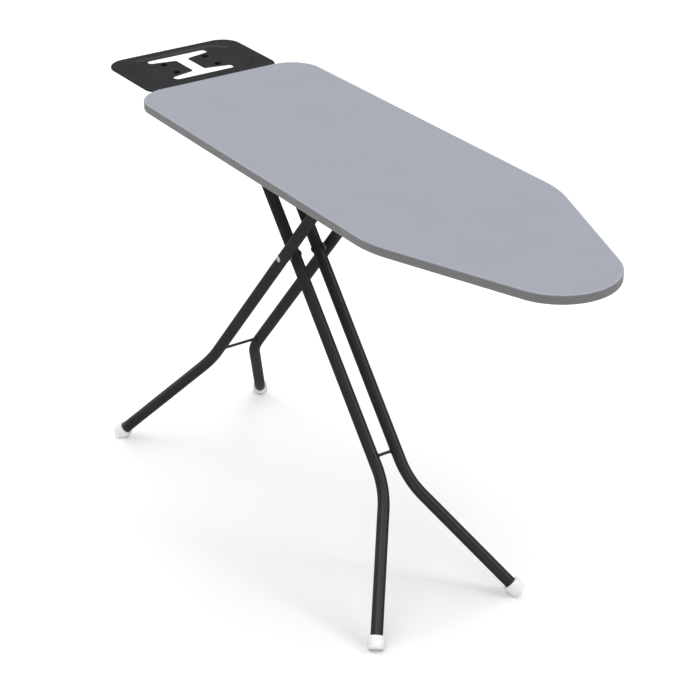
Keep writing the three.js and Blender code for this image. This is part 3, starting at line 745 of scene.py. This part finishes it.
def casing_inset(i):
    return CORD_INSET + 1.5 * periodic(SWELLS, i) * gather(i)


def pucker(i):
    """Height of the hem's folds, from -1 to 1."""
    folds = periodic(FOLDS, i) * 1.9 + 0.5 * periodic(SWELLS, i)
    return max(-1.0, min(1.0, folds)) * gather(i)


def mouth_gap(i):
    """0 where the casing is open at the rear and the drawcord shows, 1 where it is sewn."""
    x, y, _ = OUTLINE[i]
    return smooth((abs(y) - MOUTH_HALF_WIDTH) / 6) if x < 1 else 1.0


def rim_point(i, inset, z):
    """The point that far in from the outline's sample i."""
    x, y, a = OUTLINE[i]
    return at(x - inset * math.cos(a), y - inset * math.sin(a), z)


def ring_by(place):
    """A ring of points round the outline, where place gives each sample's inset and height."""
    return [rim_point(i, *place(i)) for i in range(len(OUTLINE))]


def face_rings():
    """The ironing face, from the board's centre line out to near its edge."""
    rings = []
    for t in (0.0, 0.12, 0.24, 0.36, 0.48, 0.6, 0.7, 0.8, 0.88, 0.94):
        ring = []
        for x, y, a in OUTLINE:
            middle = min(max(x, CENTRE_LINE[0]), CENTRE_LINE[1])
            px, py = x - FACE_INSET * math.cos(a), y - FACE_INSET * math.sin(a)
            gx, gy = middle + (px - middle) * t, py * t
            sag = 0.16 * math.sin(gx * 0.021 + 1.3) * math.sin(gy * 0.034 + 0.4)
            ring.append(at(gx, gy, BOARD_TOP - 0.16 - 0.1 * abs(sag) + 0.4 * sag * (1 - t)))
        rings.append(ring)
    return rings


def skirt_profile():
    """(inset, height) over the rounded edge, down the skirt and round under the board."""
    profile = [(FACE_INSET, BOARD_TOP - 0.12), (6.0, BOARD_TOP - 0.05), (3.6, BOARD_TOP)]
    for k in range(7):
        a = math.pi / 2 * k / 6
        inset = EDGE_RADIUS - EDGE_RADIUS * math.sin(a)
        profile.append((inset, BOARD_TOP - EDGE_RADIUS + EDGE_RADIUS * math.cos(a)))
    profile += [(0.0, BOARD_TOP - 5.5), (0.05, BOARD_TOP - 8.5), (0.1, BOARD_TOP - 11.5)]
    for k in range(6):
        a = math.pi / 2 * k / 5
        inset = EDGE_RADIUS - EDGE_RADIUS * math.cos(a)
        profile.append((inset, UNDERSIDE + EDGE_RADIUS - EDGE_RADIUS * math.sin(a)))
    return profile


def skirt_ring(inset, z):
    """Taut at the top, and drawn in a little by the gathers lower down."""
    low = smooth((BOARD_TOP - 6 - z) / 12)
    return ring_by(lambda i: (inset + 0.28 * low * (pucker(i) + 1.0) * 0.5, z))


def hem_ring(inset):
    """The hem, flat near the edge and puckered towards the drawcord."""
    t = smooth((inset - 3) / 27)

    def place(i):
        drawn_in = (casing_inset(i) - CORD_INSET) * t
        return inset + drawn_in, UNDERSIDE - 0.15 * t + 0.95 * t * pucker(i)
    return ring_by(place)


def casing_ring(share):
    """The casing's cloth, rolled round the drawcord by that share, and flat where its mouth is."""
    turn = math.radians(195 + 310 * share)
    step = 0.8 * share

    def place(i):
        gap = mouth_gap(i)
        rolled_inset = casing_inset(i) + CASING_RADIUS * math.cos(turn)
        rolled_z = CORD_Z + CASING_RADIUS * math.sin(turn) + 0.12 * pucker(i)
        flat_inset = casing_inset(i) - 2.9 + step
        flat_z = UNDERSIDE - 0.1 + step
        return rolled_inset * gap + flat_inset * (1 - gap), rolled_z * gap + flat_z * (1 - gap)
    return ring_by(place)


def make_cover():
    rings = face_rings()
    # How much painted highlight each ring gets, most round the rounded top edge.
    edge_highlight_amounts = [0.0] * len(rings) + [0.0, 0.1, 0.45, 0.8, 1.0, 1.0, 0.9, 0.5, 0.2]
    # 1 on the face and 0 on the skirt and hem, where the darker colour is painted as shade.
    coated = [1.0] * (len(rings) + 6) + [0.8, 0.4, 0.1]
    rings += [skirt_ring(inset, z) for inset, z in skirt_profile()]
    rings += [hem_ring(inset) for inset in (5.0, 8.5, 12.5, 16.5, 20.5, 24.5, 28.5, 32.0, 34.6)]
    rings += [casing_ring(k / 8) for k in range(9)]
    verts, faces = loft(rings, closed_ends=False)
    cover = make_object("fabric_cover", verts, [tuple(reversed(f)) for f in faces], COVER)
    for name, amounts in (("edge_highlight", edge_highlight_amounts), ("coating_and_side_shade", coated)):
        layer = cover.data.attributes.new(name, "FLOAT", "POINT")
        for i, value in enumerate(amounts):
            for j in range(len(OUTLINE)):
                layer.data[i * len(OUTLINE) + j].value = value
    bm = bmesh.new()
    bm.from_mesh(cover.data)
    spine = [v for v in bm.verts if abs(v.co.y) < 2e-5 or v.index < len(OUTLINE)]
    bmesh.ops.remove_doubles(bm, verts=spine, dist=4e-5)
    bmesh.ops.dissolve_degenerate(bm, dist=1e-7, edges=bm.edges)
    face_up(bm)
    bm.to_mesh(cover.data)
    bm.free()
    cover.data.shade_smooth()
    thicken(cover, CLOTH).data.shade_smooth()
    return attach(cover, "board", "cover_cotton", "board_cover")


def stitch_rings(i, over):
    """One stitch just past the outline's sample i, as rings from end to end."""
    x, y, a = OUTLINE[i]
    along = Vector((-math.sin(a), math.cos(a), 0.0))
    inward = Vector((-math.cos(a), -math.sin(a), 0.0))
    inset = STITCH_INSET + casing_inset(i) - CORD_INSET
    z = UNDERSIDE - 0.15 + 0.95 * pucker(i) - 0.12
    middle = at(x, y, z) + inward * inset * MM + along * over * MM
    rings = []
    for t, r in ((-0.5, 0.05), (-0.36, 0.2), (0.0, 0.27), (0.36, 0.2), (0.5, 0.05)):
        lift = Vector((0, 0, -0.16 * math.cos(math.pi * t) * MM))
        point = middle + along * t * STITCH_LENGTH * MM + lift
        rings.append(ring_at(point, (inward, Vector((0, 0, 1))), r * MM, 6))
    return rings


def make_stitching():
    """The row of stitches that closes the casing, all in one piece."""
    verts, faces = [], []
    place, i = 0.0, 0
    while place < PERIMETER - STITCH_LENGTH:
        while i + 2 < len(LENGTHS) and LENGTHS[i + 1] < place:
            i += 1
        if mouth_gap(i) > 0.99:
            base = len(verts)
            stitch_verts, stitch_faces = loft(stitch_rings(i, place - LENGTHS[i]))
            verts += stitch_verts
            faces += [tuple(base + k for k in face) for face in stitch_faces]
        place += STITCH_PITCH
    stitches = soften(clean(make_object("hem_stitching", verts, faces, STITCH), 1e-9))
    return attach(stitches, "board", "cover_cotton")


def make_drawcord():
    points = ring_by(lambda i: (casing_inset(i), CORD_Z + 0.12 * pucker(i)))
    cord = tube("drawcord", points, CORD_RADIUS * MM, CORD, 10, loop=True)
    attach(cord, "board", "cord", "cover_drawcord")


# ---------------------------------------------------------------- board deck and pad

def vents():
    holes = []
    for x in VENT_STATIONS:
        reach = WIDEST_HALF_WIDTH - VENT_MARGIN - max(0, x - SHOULDER[0]) * VENT_TAPER
        holes += [(x, y, VENT_RADIUS) for y in VENT_ROWS if abs(y) < reach]
    return holes


def make_deck():
    coarse = whole_outline(9.0)
    deck = pierced_slab("hardboard_deck", coarse, 1.3, vents(), DECK_BOTTOM, DECK_TOP, BOARD, 0.6)
    attach(deck, "board", "fibreboard", "board_deck")
    felt = pierced_slab("felt_pad", coarse, 1.0, [], DECK_TOP + 0.2, PAD_TOP, FELT, 1.2)
    return attach(felt, "board", "felt", "board_pad")


# ---------------------------------------------------------------- iron rest

def pocket(inset, radius):
    """The sunk pocket's chamfered outline; its chamfers shrink by 2 - sqrt(2) of the inset."""
    x0, x1, y = POCKET_REAR + inset, POCKET_FRONT - inset, POCKET_HALF_WIDTH - inset
    chamfer = POCKET_CHAMFER - 0.586 * inset
    corners = [
        (x0 + chamfer, -y), (x1 - chamfer, -y), (x1, -y + chamfer), (x1, y - chamfer),
        (x1 - chamfer, y), (x0 + chamfer, y), (x0, y - chamfer), (x0, -y + chamfer),
    ]
    return flat_outline([(x, y, radius) for x, y in corners], 6)[0]


def opening():
    """The H-shaped opening, counter-clockwise, with normals that point into the sheet."""
    half = [*OPENING_QUARTER, *((-x, y, r) for x, y, r in reversed(OPENING_QUARTER))]
    corners = half + [(-x, -y, r) for x, y, r in half]
    return flat_outline([(x + OPENING_X, y, r) for x, y, r in corners], 7)


def make_rest_sheet(studs):
    rim, rim_normals = flat_outline(REST_CORNERS, 16)
    hole, hole_normals = opening()
    border = [p - n * 3.4 for p, n in zip(rim, rim_normals)]
    lip = [p + n * 2.2 for p, n in zip(hole, hole_normals)]
    circles = [circle(x, y, 3.0, 20) for x, y in studs]
    # The pocket's wall: how far inside its outline, and how far down from the rim.
    steps = [(-2.2, 0.0), (-1.0, -0.06), (0.2, -0.4), (1.4, -1.1),
             (2.8, -2.05), (4.0, -2.7), (5.2, -2.95), (6.4, -3.0)]
    rings = [pocket(inset, max(1.5, 11.0 - inset)) for inset, _ in steps]
    flat_ring = [p - n * 9.0 for p, n in zip(rim, rim_normals)]
    points, triangles, found = triangulated(border, [lip, *circles], (*rings, flat_ring))
    levels = {}
    for ids, (_, drop) in zip(found[2 + len(circles):], steps):
        levels.update((i, REST_TOP + drop) for i in ids)
    floor = [tuple(p) for p in rings[0]]
    heights = [
        levels.get(i, REST_FLOOR if inside(p, floor) else REST_TOP) for i, p in enumerate(points)
    ]
    bm = bmesh.new()
    verts = [bm.verts.new(at(p.x, p.y, z)) for p, z in zip(points, heights)]
    for tri in triangles:
        bm.faces.new([verts[i] for i in tri])

    def turn_down(ids, ring, normals, profile, sign):
        """A rolled edge from the flat, through (how far out, height) points."""
        row = [verts[i] for i in ids]
        for offset, z in profile:
            new = [
                bm.verts.new(at(p.x + n.x * offset, p.y + n.y * offset, z)) for p, n in zip(ring, normals)
            ]
            for j in range(len(ring)):
                k = (j + 1) % len(ring)
                quad = (row[j], row[k], new[k], new[j])
                if row[j] != row[k]:
                    bm.faces.new(quad if sign > 0 else (quad[1], quad[0], quad[3], quad[2]))
            row = new

    rim_roll = [(1.3, 864.9), (2.3, 864.5), (2.95, 863.7), (3.3, 862.6), (3.4, 861.4), (3.4, 860.6)]
    turn_down(found[0], border, rim_normals, rim_roll, -1)
    lip_roll = [(-0.9, 861.9), (-1.6, 861.55), (-2.05, 861.0), (-2.2, 860.2)]
    turn_down(found[1], lip, hole_normals, lip_roll, 1)
    bmesh.ops.remove_doubles(bm, verts=bm.verts, dist=1e-6)
    face_up(bm)
    sheet = thicken(object_from(bm, "iron_rest_sheet", BLACK_SHEET), REST_SHEET)
    attach(soften(sheet, 42.0), "board", "black_steel", "iron_rest_plate")


def make_rest():
    studs = [(x, y) for y in STUD_Y for x in STUD_X]
    make_rest_sheet(studs)
    # A push-in stud: barbed below, a neck through the sheet, and a domed head.
    profile = [(0.0, -3.7), (4.4, -3.3), (5.0, -1.8), (2.6, -1.8), (2.6, 0.1), (6.3, 0.1), (STUD_RADIUS, 0.5)]
    for k in range(1, 8):
        a = math.pi / 2 * k / 7
        profile.append((STUD_RADIUS * math.cos(a) ** 0.75, 0.5 + 2.1 * math.sin(a)))
    for number, (x, y) in enumerate(studs, 1):
        stud = turned(f"stud_{number}", profile, at(x, y, REST_FLOOR), Vector((0, 0, 1)), RUBBER, 32)
        attach(stud, "board", "black_plastic", f"iron_rest_stud_{number}")
    for side, _ in SIDES:
        dressed(f"rest_arm_{side}", BLACK_SHEET, "board", "black_steel", 0.7)


# ---------------------------------------------------------------- stand

def frame_point(layout, z, y):
    """The point at height z on the slanted plane of a frame's tubes."""
    run = (PIVOT[1] - z) / math.tan(STAND_ANGLE)
    return at(PIVOT[0] + layout["slope"] * run, y, z)


def frame_axes(layout):
    """Down along a frame's tubes above their bends, and square to them."""
    down = Vector((math.cos(STAND_ANGLE) * layout["slope"], 0, -math.sin(STAND_ANGLE)))
    across = Vector((math.sin(STAND_ANGLE) * layout["slope"], 0, math.cos(STAND_ANGLE)))
    return down, across


def foot_direction(layout, sign):
    bend = frame_point(layout, layout["bend_z"], sign * layout["y"])
    return (frame_point(layout, FOOT_Z, sign * layout["foot_y"]) - bend).normalized()


def leg_line(layout, sign, top_z, steps=26):
    """Points down one tube, and how far round its bend each one is, from 0 to 1 and back to 0."""
    start = frame_point(layout, top_z, sign * layout["y"])
    corner = frame_point(layout, layout["bend_z"], sign * layout["y"])
    foot = frame_point(layout, FOOT_Z, sign * layout["foot_y"])
    end = foot - foot_direction(layout, sign) * 3 * MM
    before, after = (corner - start).normalized(), (end - corner).normalized()
    turn = before.angle(after)
    radius = BEND_RADIUS * MM
    arc_start = corner - before * radius * math.tan(turn / 2)
    inward = (after - before * before.dot(after)).normalized()
    centre = arc_start + inward * radius
    points = [start.lerp(arc_start, k / 9) for k in range(9)]
    bent = [0.0] * 9
    for k in range(steps + 1):
        a = turn * k / steps
        points.append(centre - inward * radius * math.cos(a) + before * radius * math.sin(a))
        bent.append(math.sin(math.pi * k / steps))
    arc_end = points[-1].copy()
    points += [arc_end.lerp(end, k / 6) for k in range(1, 7)]
    bent += [0.0] * 6
    return points, bent, inward


def cutter(x, z, radius, sides=48):
    return bar("cutter", x, z, radius, -90, 90, BLACK_TUBE, 0.0, sides)


def make_leg(name, body, layout, sign, top_z, cutters):
    """A bent tube, drawn slightly oval through its bend."""
    points, bent, inward = leg_line(layout, sign, top_z)
    flattened, widened = 0.045, 0.02
    outer, inner = [], []
    for point, bend, (u, v) in zip(points, bent, frames_along(points)):
        for rings, radius in ((outer, TUBE_RADIUS), (inner, TUBE_RADIUS - TUBE_WALL)):
            ring = []
            for a in around(44):
                offset = (u * math.cos(a) + v * math.sin(a)) * radius * MM
                along = inward * offset.dot(inward)
                ring.append(point + offset - along * flattened * bend + (offset - along) * widened * bend)
            rings.append(ring)
    verts, faces = loft(outer + list(reversed(inner)), loop=True)
    leg = clean(make_object(f"{name}_tube", verts, faces, BLACK_TUBE))
    subtract(leg, *cutters)
    leg.data.materials.clear()
    leg.data.materials.append(BLACK_TUBE)
    attach(soften(clean(leg)), body, "black_steel", name)


def make_boot(body, side, sign, layout):
    """A plastic boot: straight sides, a rolled mouth, a rounded toe and a flat sole on the floor."""
    r, bore = CAP_RADIUS, TUBE_RADIUS + 0.12
    profile = [
        (0.0, 9.0), (r - 0.1, 9.0, 2.6), (r, 2.6), (r, 2.2),
        (r - 0.25, 2.0), (r - 0.25, 1.6), (r, 1.4), (r, -15.5, 1.2),
        (bore + 0.4, -15.5, 0.4), (bore, -15.0), (bore, -2.8), (0.0, -2.8),
    ]
    frame_name = body.removesuffix("_frame")
    foot = frame_point(layout, FOOT_Z, sign * layout["foot_y"])
    down = foot_direction(layout, sign)
    boot = turned(f"{frame_name}_foot_boot_{side}", profile, foot, down, WHITE, 56, 6)
    bm = bmesh.new()
    bm.from_mesh(boot.data)
    geometry = bm.verts[:] + bm.edges[:] + bm.faces[:]
    cut = bmesh.ops.bisect_plane(bm, geom=geometry, plane_co=(0, 0, 0), plane_no=(0, 0, -1), clear_outer=True)
    rim = [e for e in cut["geom_cut"] if isinstance(e, bmesh.types.BMEdge)]
    bmesh.ops.contextual_create(bm, geom=rim)
    bmesh.ops.recalc_face_normals(bm, faces=bm.faces)
    bm.to_mesh(boot.data)
    bm.free()
    attach(soften(boot, 30.0), body, "white_plastic", f"{frame_name}_foot_cap_{side}")


def make_weld(name, body, points, radius, seed):
    """A closed fillet weld with the ripples of its run."""
    random.seed(seed)
    count = len(points)
    phase = random.uniform(0, 6.28)
    radii = [radius * (1 + 0.16 * math.sin(2 * math.pi * i * 13 / count + phase)) * MM for i in range(count)]
    attach(tube(name, points, radii, WELD, 10, loop=True), body, "black_steel")


def make_stretcher(body, layout, name):
    """The thin rod between a frame's tubes, with a weld round each end."""
    place = frame_point(layout, layout["stretcher_z"], 0)
    x, z = place.x / MM - SHIFT_X, place.z / MM
    reach = layout["y"] - TUBE_RADIUS + 0.5
    rod = bar(f"{name}_rod", x, z, STRETCHER_RADIUS, -reach, reach, BLACK_TUBE, 0.2, 28)
    attach(rod, body, "black_steel", name)
    down, across = frame_axes(layout)
    weld_radius = STRETCHER_RADIUS + 0.9
    for side, sign in SIDES:
        points = []
        for a in around(26):
            u, w = weld_radius * math.cos(a), weld_radius * math.sin(a)
            depth = layout["y"] - math.sqrt(TUBE_RADIUS ** 2 - w ** 2) - 0.3
            points.append(place + down * u * MM + across * w * MM + Vector((0, sign * depth * MM, 0)))
        make_weld(f"{name}_weld_{side}", body, points, 1.25, 31 + sign)


def make_crossbar_weld(side, sign):
    """Where an inner leg meets the crossbar, on the leg's underside."""
    down, across = frame_axes(INNER)
    hub = at(HINGE_X, sign * INNER["y"], TOP_AXIS_Z)
    r = TUBE_RADIUS + 0.2
    points = []
    for a in around(48):
        t = math.sqrt((TUBE_RADIUS + 0.7) ** 2 - (TUBE_RADIUS * math.sin(a)) ** 2)
        sideways = Vector((0, r * math.cos(a) * MM, 0))
        points.append(hub + sideways + across * r * math.sin(a) * MM + down * t * MM)
    make_weld(f"crossbar_weld_{side}", "inner_frame", points, 1.7, 41 + sign)


def make_inner_frame():
    for side, sign in SIDES:
        cutters = (cutter(HINGE_X, TOP_AXIS_Z, TUBE_RADIUS + 0.05), cutter(*PIVOT, RIVET_RADIUS + 0.3, 32))
        make_leg(f"inner_leg_{side}", "inner_frame", INNER, sign, TOP_AXIS_Z, cutters)
        make_boot("inner_frame", side, sign, INNER)
        profile = [
            (0.0, -12.0), (10.5, -12.0, 0.6), (10.5, 0.1), (11.9, 0.1, 0.3),
            (11.9, 1.7, 0.7), (3.0, 2.4, 1.0), (0.0, 2.4),
        ]
        end = at(HINGE_X, sign * CROSSBAR_HALF, TOP_AXIS_Z)
        plug = turned(f"crossbar_plug_{side}", profile, end, ALONG_Y * sign, BLACK)
        attach(plug, "inner_frame", "black_plastic", f"inner_crossbar_plug_{side}")
        make_crossbar_weld(side, sign)
    bore = TUBE_RADIUS - TUBE_WALL
    profile = [
        (bore, -CROSSBAR_HALF), (TUBE_RADIUS, -CROSSBAR_HALF, 0.35),
        (TUBE_RADIUS, CROSSBAR_HALF, 0.35), (bore, CROSSBAR_HALF),
    ]
    middle = at(HINGE_X, 0, TOP_AXIS_Z)
    crossbar = turned("crossbar_tube", profile, middle, ALONG_Y, BLACK_TUBE, 44, 3)
    attach(crossbar, "inner_frame", "black_steel", "inner_crossbar")
    make_stretcher("inner_frame", INNER, "inner_stretcher")


def make_pivot(side, sign):
    """The rivet through both tubes, with its black end cap inside and a spacer between them."""
    def on_pivot(name, profile, material):
        return turned(name, profile, at(PIVOT[0], 0, PIVOT[1]), ALONG_Y * sign, material)

    outside, inside_face = OUTER["y"] + TUBE_RADIUS + 0.2, INNER["y"] - TUBE_RADIUS - 0.2
    rivet = on_pivot(f"rivet_{side}", [
        (0.0, inside_face - 1.0), (RIVET_RADIUS, inside_face - 1.0, 0.3), (RIVET_RADIUS, outside),
        (6.2, outside, 0.2), (6.2, outside + 0.7, 0.6), (5.2, outside + 1.9, 1.2),
        (2.6, outside + 2.8, 1.4), (0.0, outside + 2.8),
    ], NICKEL)
    attach(rivet, "outer_frame", "zinc", f"pivot_rivet_{side}")
    cap = on_pivot(f"rivet_cap_{side}", [
        (0.0, inside_face - 2.2), (4.6, inside_face - 2.2, 1.2), (6.4, inside_face - 0.4, 0.5),
        (6.4, inside_face, 0.1), (RIVET_RADIUS + 0.1, inside_face, 0.1),
        (RIVET_RADIUS + 0.1, inside_face - 1.1), (0.0, inside_face - 1.1),
    ], BLACK)
    attach(cap, "outer_frame", "black_plastic")
    near, far = INNER["y"] + TUBE_RADIUS + 0.2, OUTER["y"] - TUBE_RADIUS - 0.2
    spacer = on_pivot(f"spacer_{side}", [
        (RIVET_RADIUS + 0.35, near), (9.0, near, 0.4), (9.0, far, 0.4), (RIVET_RADIUS + 0.35, far),
    ], ZINC_ROD)
    attach(spacer, "outer_frame", "zinc", f"pivot_spacer_{side}")


def make_outer_frame():
    top_z = TOP_AXIS_Z + 10 * math.sin(STAND_ANGLE)
    up = -frame_axes(OUTER)[0]
    for side, sign in SIDES:
        cutters = (cutter(SLIDE_X, TOP_AXIS_Z, ROD_RADIUS + 0.15, 32), cutter(*PIVOT, RIVET_RADIUS + 0.1, 32))
        make_leg(f"outer_leg_{side}", "outer_frame", OUTER, sign, top_z, cutters)
        make_boot("outer_frame", side, sign, OUTER)
        profile = [
            (0.0, -3.0), (10.5, -3.0, 0.4), (10.5, 0.1), (11.8, 0.1, 0.2),
            (11.6, 0.9, 0.4), (4.0, 1.6, 1.0), (0.0, 1.6),
        ]
        end = frame_point(OUTER, top_z, sign * OUTER["y"])
        plug = turned(f"leg_plug_{side}", profile, end, up, BLACK)
        attach(plug, "outer_frame", "black_plastic", f"outer_leg_plug_{side}")
        make_pivot(side, sign)
    rod = bar("cross_rod", SLIDE_X, TOP_AXIS_Z, ROD_RADIUS, -ROD_HALF, ROD_HALF, ZINC_ROD, 0.8)
    attach(rod, "outer_frame", "zinc", "outer_cross_rod")
    make_stretcher("outer_frame", OUTER, "outer_stretcher")


# ---------------------------------------------------------------- hardware

def screw_head(centre, bottom, radius, spin):
    """Rings from the middle of a shallow dome to its edge, with a cross recess turned by spin."""
    rings = []
    for k in range(13):
        r = radius * (k / 12) ** 0.85
        dome = 0.75 * MM * (r / radius) ** 2.4
        ring = []
        for a in around(40):
            arm = r * min(abs(math.cos(a - spin)), abs(math.sin(a - spin)))
            recess = smooth((0.62 * MM - arm) / (0.3 * MM)) * smooth((2.4 * MM - r) / (0.5 * MM))
            z = bottom + dome + 1.15 * MM * recess
            ring.append(centre + Vector((r * math.cos(a), r * math.sin(a), z)))
        rings.append(ring)
    return rings


def make_screw(node):
    """A pan head, head down, with a threaded shank up into the deck."""
    low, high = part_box(node)
    centre = Vector(((low.x + high.x) / 2, (low.y + high.y) / 2, 0))
    random.seed(sum(ord(c) for c in node))
    radius = 4.2 * MM
    rings = screw_head(centre, low.z, radius, random.uniform(0, math.pi / 2))
    top = low.z + 2.4 * MM
    shank = [(radius, top - 0.25 * MM), (radius * 0.96, top), (1.9 * MM, top)]
    for k in range(12):
        z = top + (0.4 + 0.55 * k) * MM
        shank += [(1.5 * MM, z), (1.95 * MM, z + 0.27 * MM)]
    shank += [(1.4 * MM, high.z - 1.0 * MM), (0.0, high.z)]
    axes = (Vector((1, 0, 0)), Vector((0, 1, 0)))
    rings += [ring_at(centre + Vector((0, 0, z)), axes, r, 40) for r, z in shank]
    verts, faces = loft(rings, closed_ends=False)
    screw = soften(clean(make_object(f"{node}_cross_head", verts, faces, ZINC)), 34.0)
    attach(screw, "board", "zinc", node)


def make_bush(side, sign):
    profile = [(12.25, -9.0), (15.0, -9.0, 0.7), (15.0, 9.0, 0.7), (12.25, 9.0)]
    middle = at(HINGE_X, sign * 56, TOP_AXIS_Z)
    bush = turned(f"nylon_bush_{side}", profile, middle, ALONG_Y, NYLON, 48)
    attach(bush, "board", "white_plastic", f"hinge_bush_{side}")


def make_lever():
    rod = bar("lever_bar", LEVER_X, LEVER_Z, 3.0, -134, 12, ZINC_ROD, 0.5, 28)
    attach(rod, "lock_lever", "zinc", "lever_rod")
    # The grip: a rounded end, eight ribs with grooves between, and a tapered mouth round the rod.
    grip = [(0.0, -140.0), (4.4, -140.0), (5.9, -139.5), (6.9, -138.4), (7.4, -136.8)]
    for k in range(8):
        y = -134.5 + 4.8 * k
        grip += [(7.4, y), (7.35, y + 0.9), (6.7, y + 1.7), (6.7, y + 2.5), (7.35, y + 3.3)]
    grip += [(7.4, -96.0), (7.2, -94.0), (6.4, -92.6), (5.4, -92.0)]
    grip += [(3.25, -92.0), (3.25, -134.3), (0.0, -134.3)]
    handle = turned("lever_handle", grip, at(LEVER_X, 0, LEVER_Z), ALONG_Y, BLACK)
    attach(handle, "lock_lever", "black_plastic", "lever_grip")


def make_spring():
    turns, pitch, first_y, radius = 3, 2.2, 14.5, 7.4
    count = 44 * turns
    points = []
    for k in range(count + 1):
        turned_by = turns * k / count
        a = 2 * math.pi * turned_by + math.pi / 2
        y = first_y + pitch * turned_by
        points.append(at(SLIDE_X + radius * math.cos(a), y, TOP_AXIS_Z + radius * math.sin(a)))
    spring = tube("torsion_spring", points, 0.8 * MM, ZINC_ROD, 12)
    attach(spring, "lock_lever", "zinc", "lever_spring")


def make_hardware():
    for node in sorted(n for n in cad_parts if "screw" in n):
        make_screw(node)
    for side, sign in SIDES:
        dressed(f"hinge_strap_{side}", ZINC, "board", "zinc", 0.45)
        dressed(f"slide_rail_{side}", ZINC, "board", "zinc", 0.35)
        dressed(f"slide_block_{side}", NYLON, "slider", "white_plastic", 0.9, 3)
        make_bush(side, sign)
    dressed("lock_strip", ZINC, "board", "zinc", 0.5)
    dressed("lock_cam", BLACK, "lock_lever", "black_plastic", 0.9, 3)
    make_lever()
    make_spring()


# ---------------------------------------------------------------- the object

cover = make_cover()
stitching = make_stitching()
make_drawcord()
felt = make_deck()
make_rest()
make_inner_frame()
make_outer_frame()
make_hardware()


# ---------------------------------------------------------------- studio

def make_floor():
    """A pale disc that shows from above only, and is kept out of reflections."""
    mat = new_material("studio_floor", (0.93, 0.915, 0.895), 0.9, Specular_IOR_Level=0.1,
                       Emission_Color=(1.0, 0.99, 0.975, 1.0), Emission_Strength=0.05)
    nodes = mat.node_tree.nodes
    below = add_node(mat, "ShaderNodeNewGeometry").outputs["Backfacing"]
    mix = add_node(mat, "ShaderNodeMixShader", [("Fac", below)])
    link(mat, nodes["Principled BSDF"].outputs["BSDF"], mix.inputs[1])
    link(mat, add_node(mat, "ShaderNodeBsdfTransparent").outputs["BSDF"], mix.inputs[2])
    link(mat, mix.outputs["Shader"], nodes["Material Output"].inputs["Surface"])
    rim = circle(0.0, 0.0, 5.5, 96)
    floor = make_object("studio_floor", [(x, y, 0.0) for x, y in rim], [tuple(range(96))], mat)
    floor.visible_glossy = False
    return floor


def make_backdrop():
    """A white surround that only the camera sees."""
    paper = new_material("studio_paper", (1.0, 1.0, 1.0), 1.0, Specular_IOR_Level=0.0,
                         Emission_Color=(1.0, 1.0, 1.0, 1.0), Emission_Strength=1.0)
    paper.cycles.emission_sampling = "NONE"
    bm = bmesh.new()
    bmesh.ops.create_uvsphere(bm, u_segments=48, v_segments=24, radius=60.0)
    backdrop = object_from(bm, "studio_backdrop", paper)
    for ray in ("diffuse", "glossy", "transmission", "volume_scatter", "shadow"):
        setattr(backdrop, f"visible_{ray}", False)
    return backdrop


def make_light(name, place, target, width, power, tint):
    """A square area light of that width, in metres, and power, in watts."""
    data = bpy.data.lights.new(name, "AREA")
    data.shape = "SQUARE"
    data.size = width
    data.energy = power
    data.color = tint
    lamp = bpy.data.objects.new(name, data)
    lamp.location = place
    lamp.rotation_euler = (Vector(target) - Vector(place)).to_track_quat("-Z", "Y").to_euler()
    SCENE.collection.objects.link(lamp)


floor = make_floor()
backdrop = make_backdrop()
world = bpy.data.worlds.new("studio")
SCENE.world = world
world.use_nodes = True
background = world.node_tree.nodes["Background"]
background.inputs["Color"].default_value = (1.0, 1.0, 1.0, 1.0)
background.inputs["Strength"].default_value = 0.14
make_light("key", (-0.3, 0.3, 9.0), (-0.3, 0.3, 0.0), 15.0, 1700.0, (0.975, 1.0, 1.055))
make_light("fill", (-3.0, -1.6, 0.9), (0.0, 0.0, 0.35), 1.4, 9.0, (1.0, 0.99, 0.97))
make_light("feet", (2.6, -2.4, 0.45), (0.0, 0.0, 0.0), 1.5, 15.0, (1.0, 0.985, 0.97))
make_light("rim", (7.5, 6.5, 7.5), (0.0, 0.0, 0.4), 2.5, 160.0, (1.0, 1.0, 1.0))
SCENE.view_settings.view_transform = "Standard"
SCENE.view_settings.look = "None"
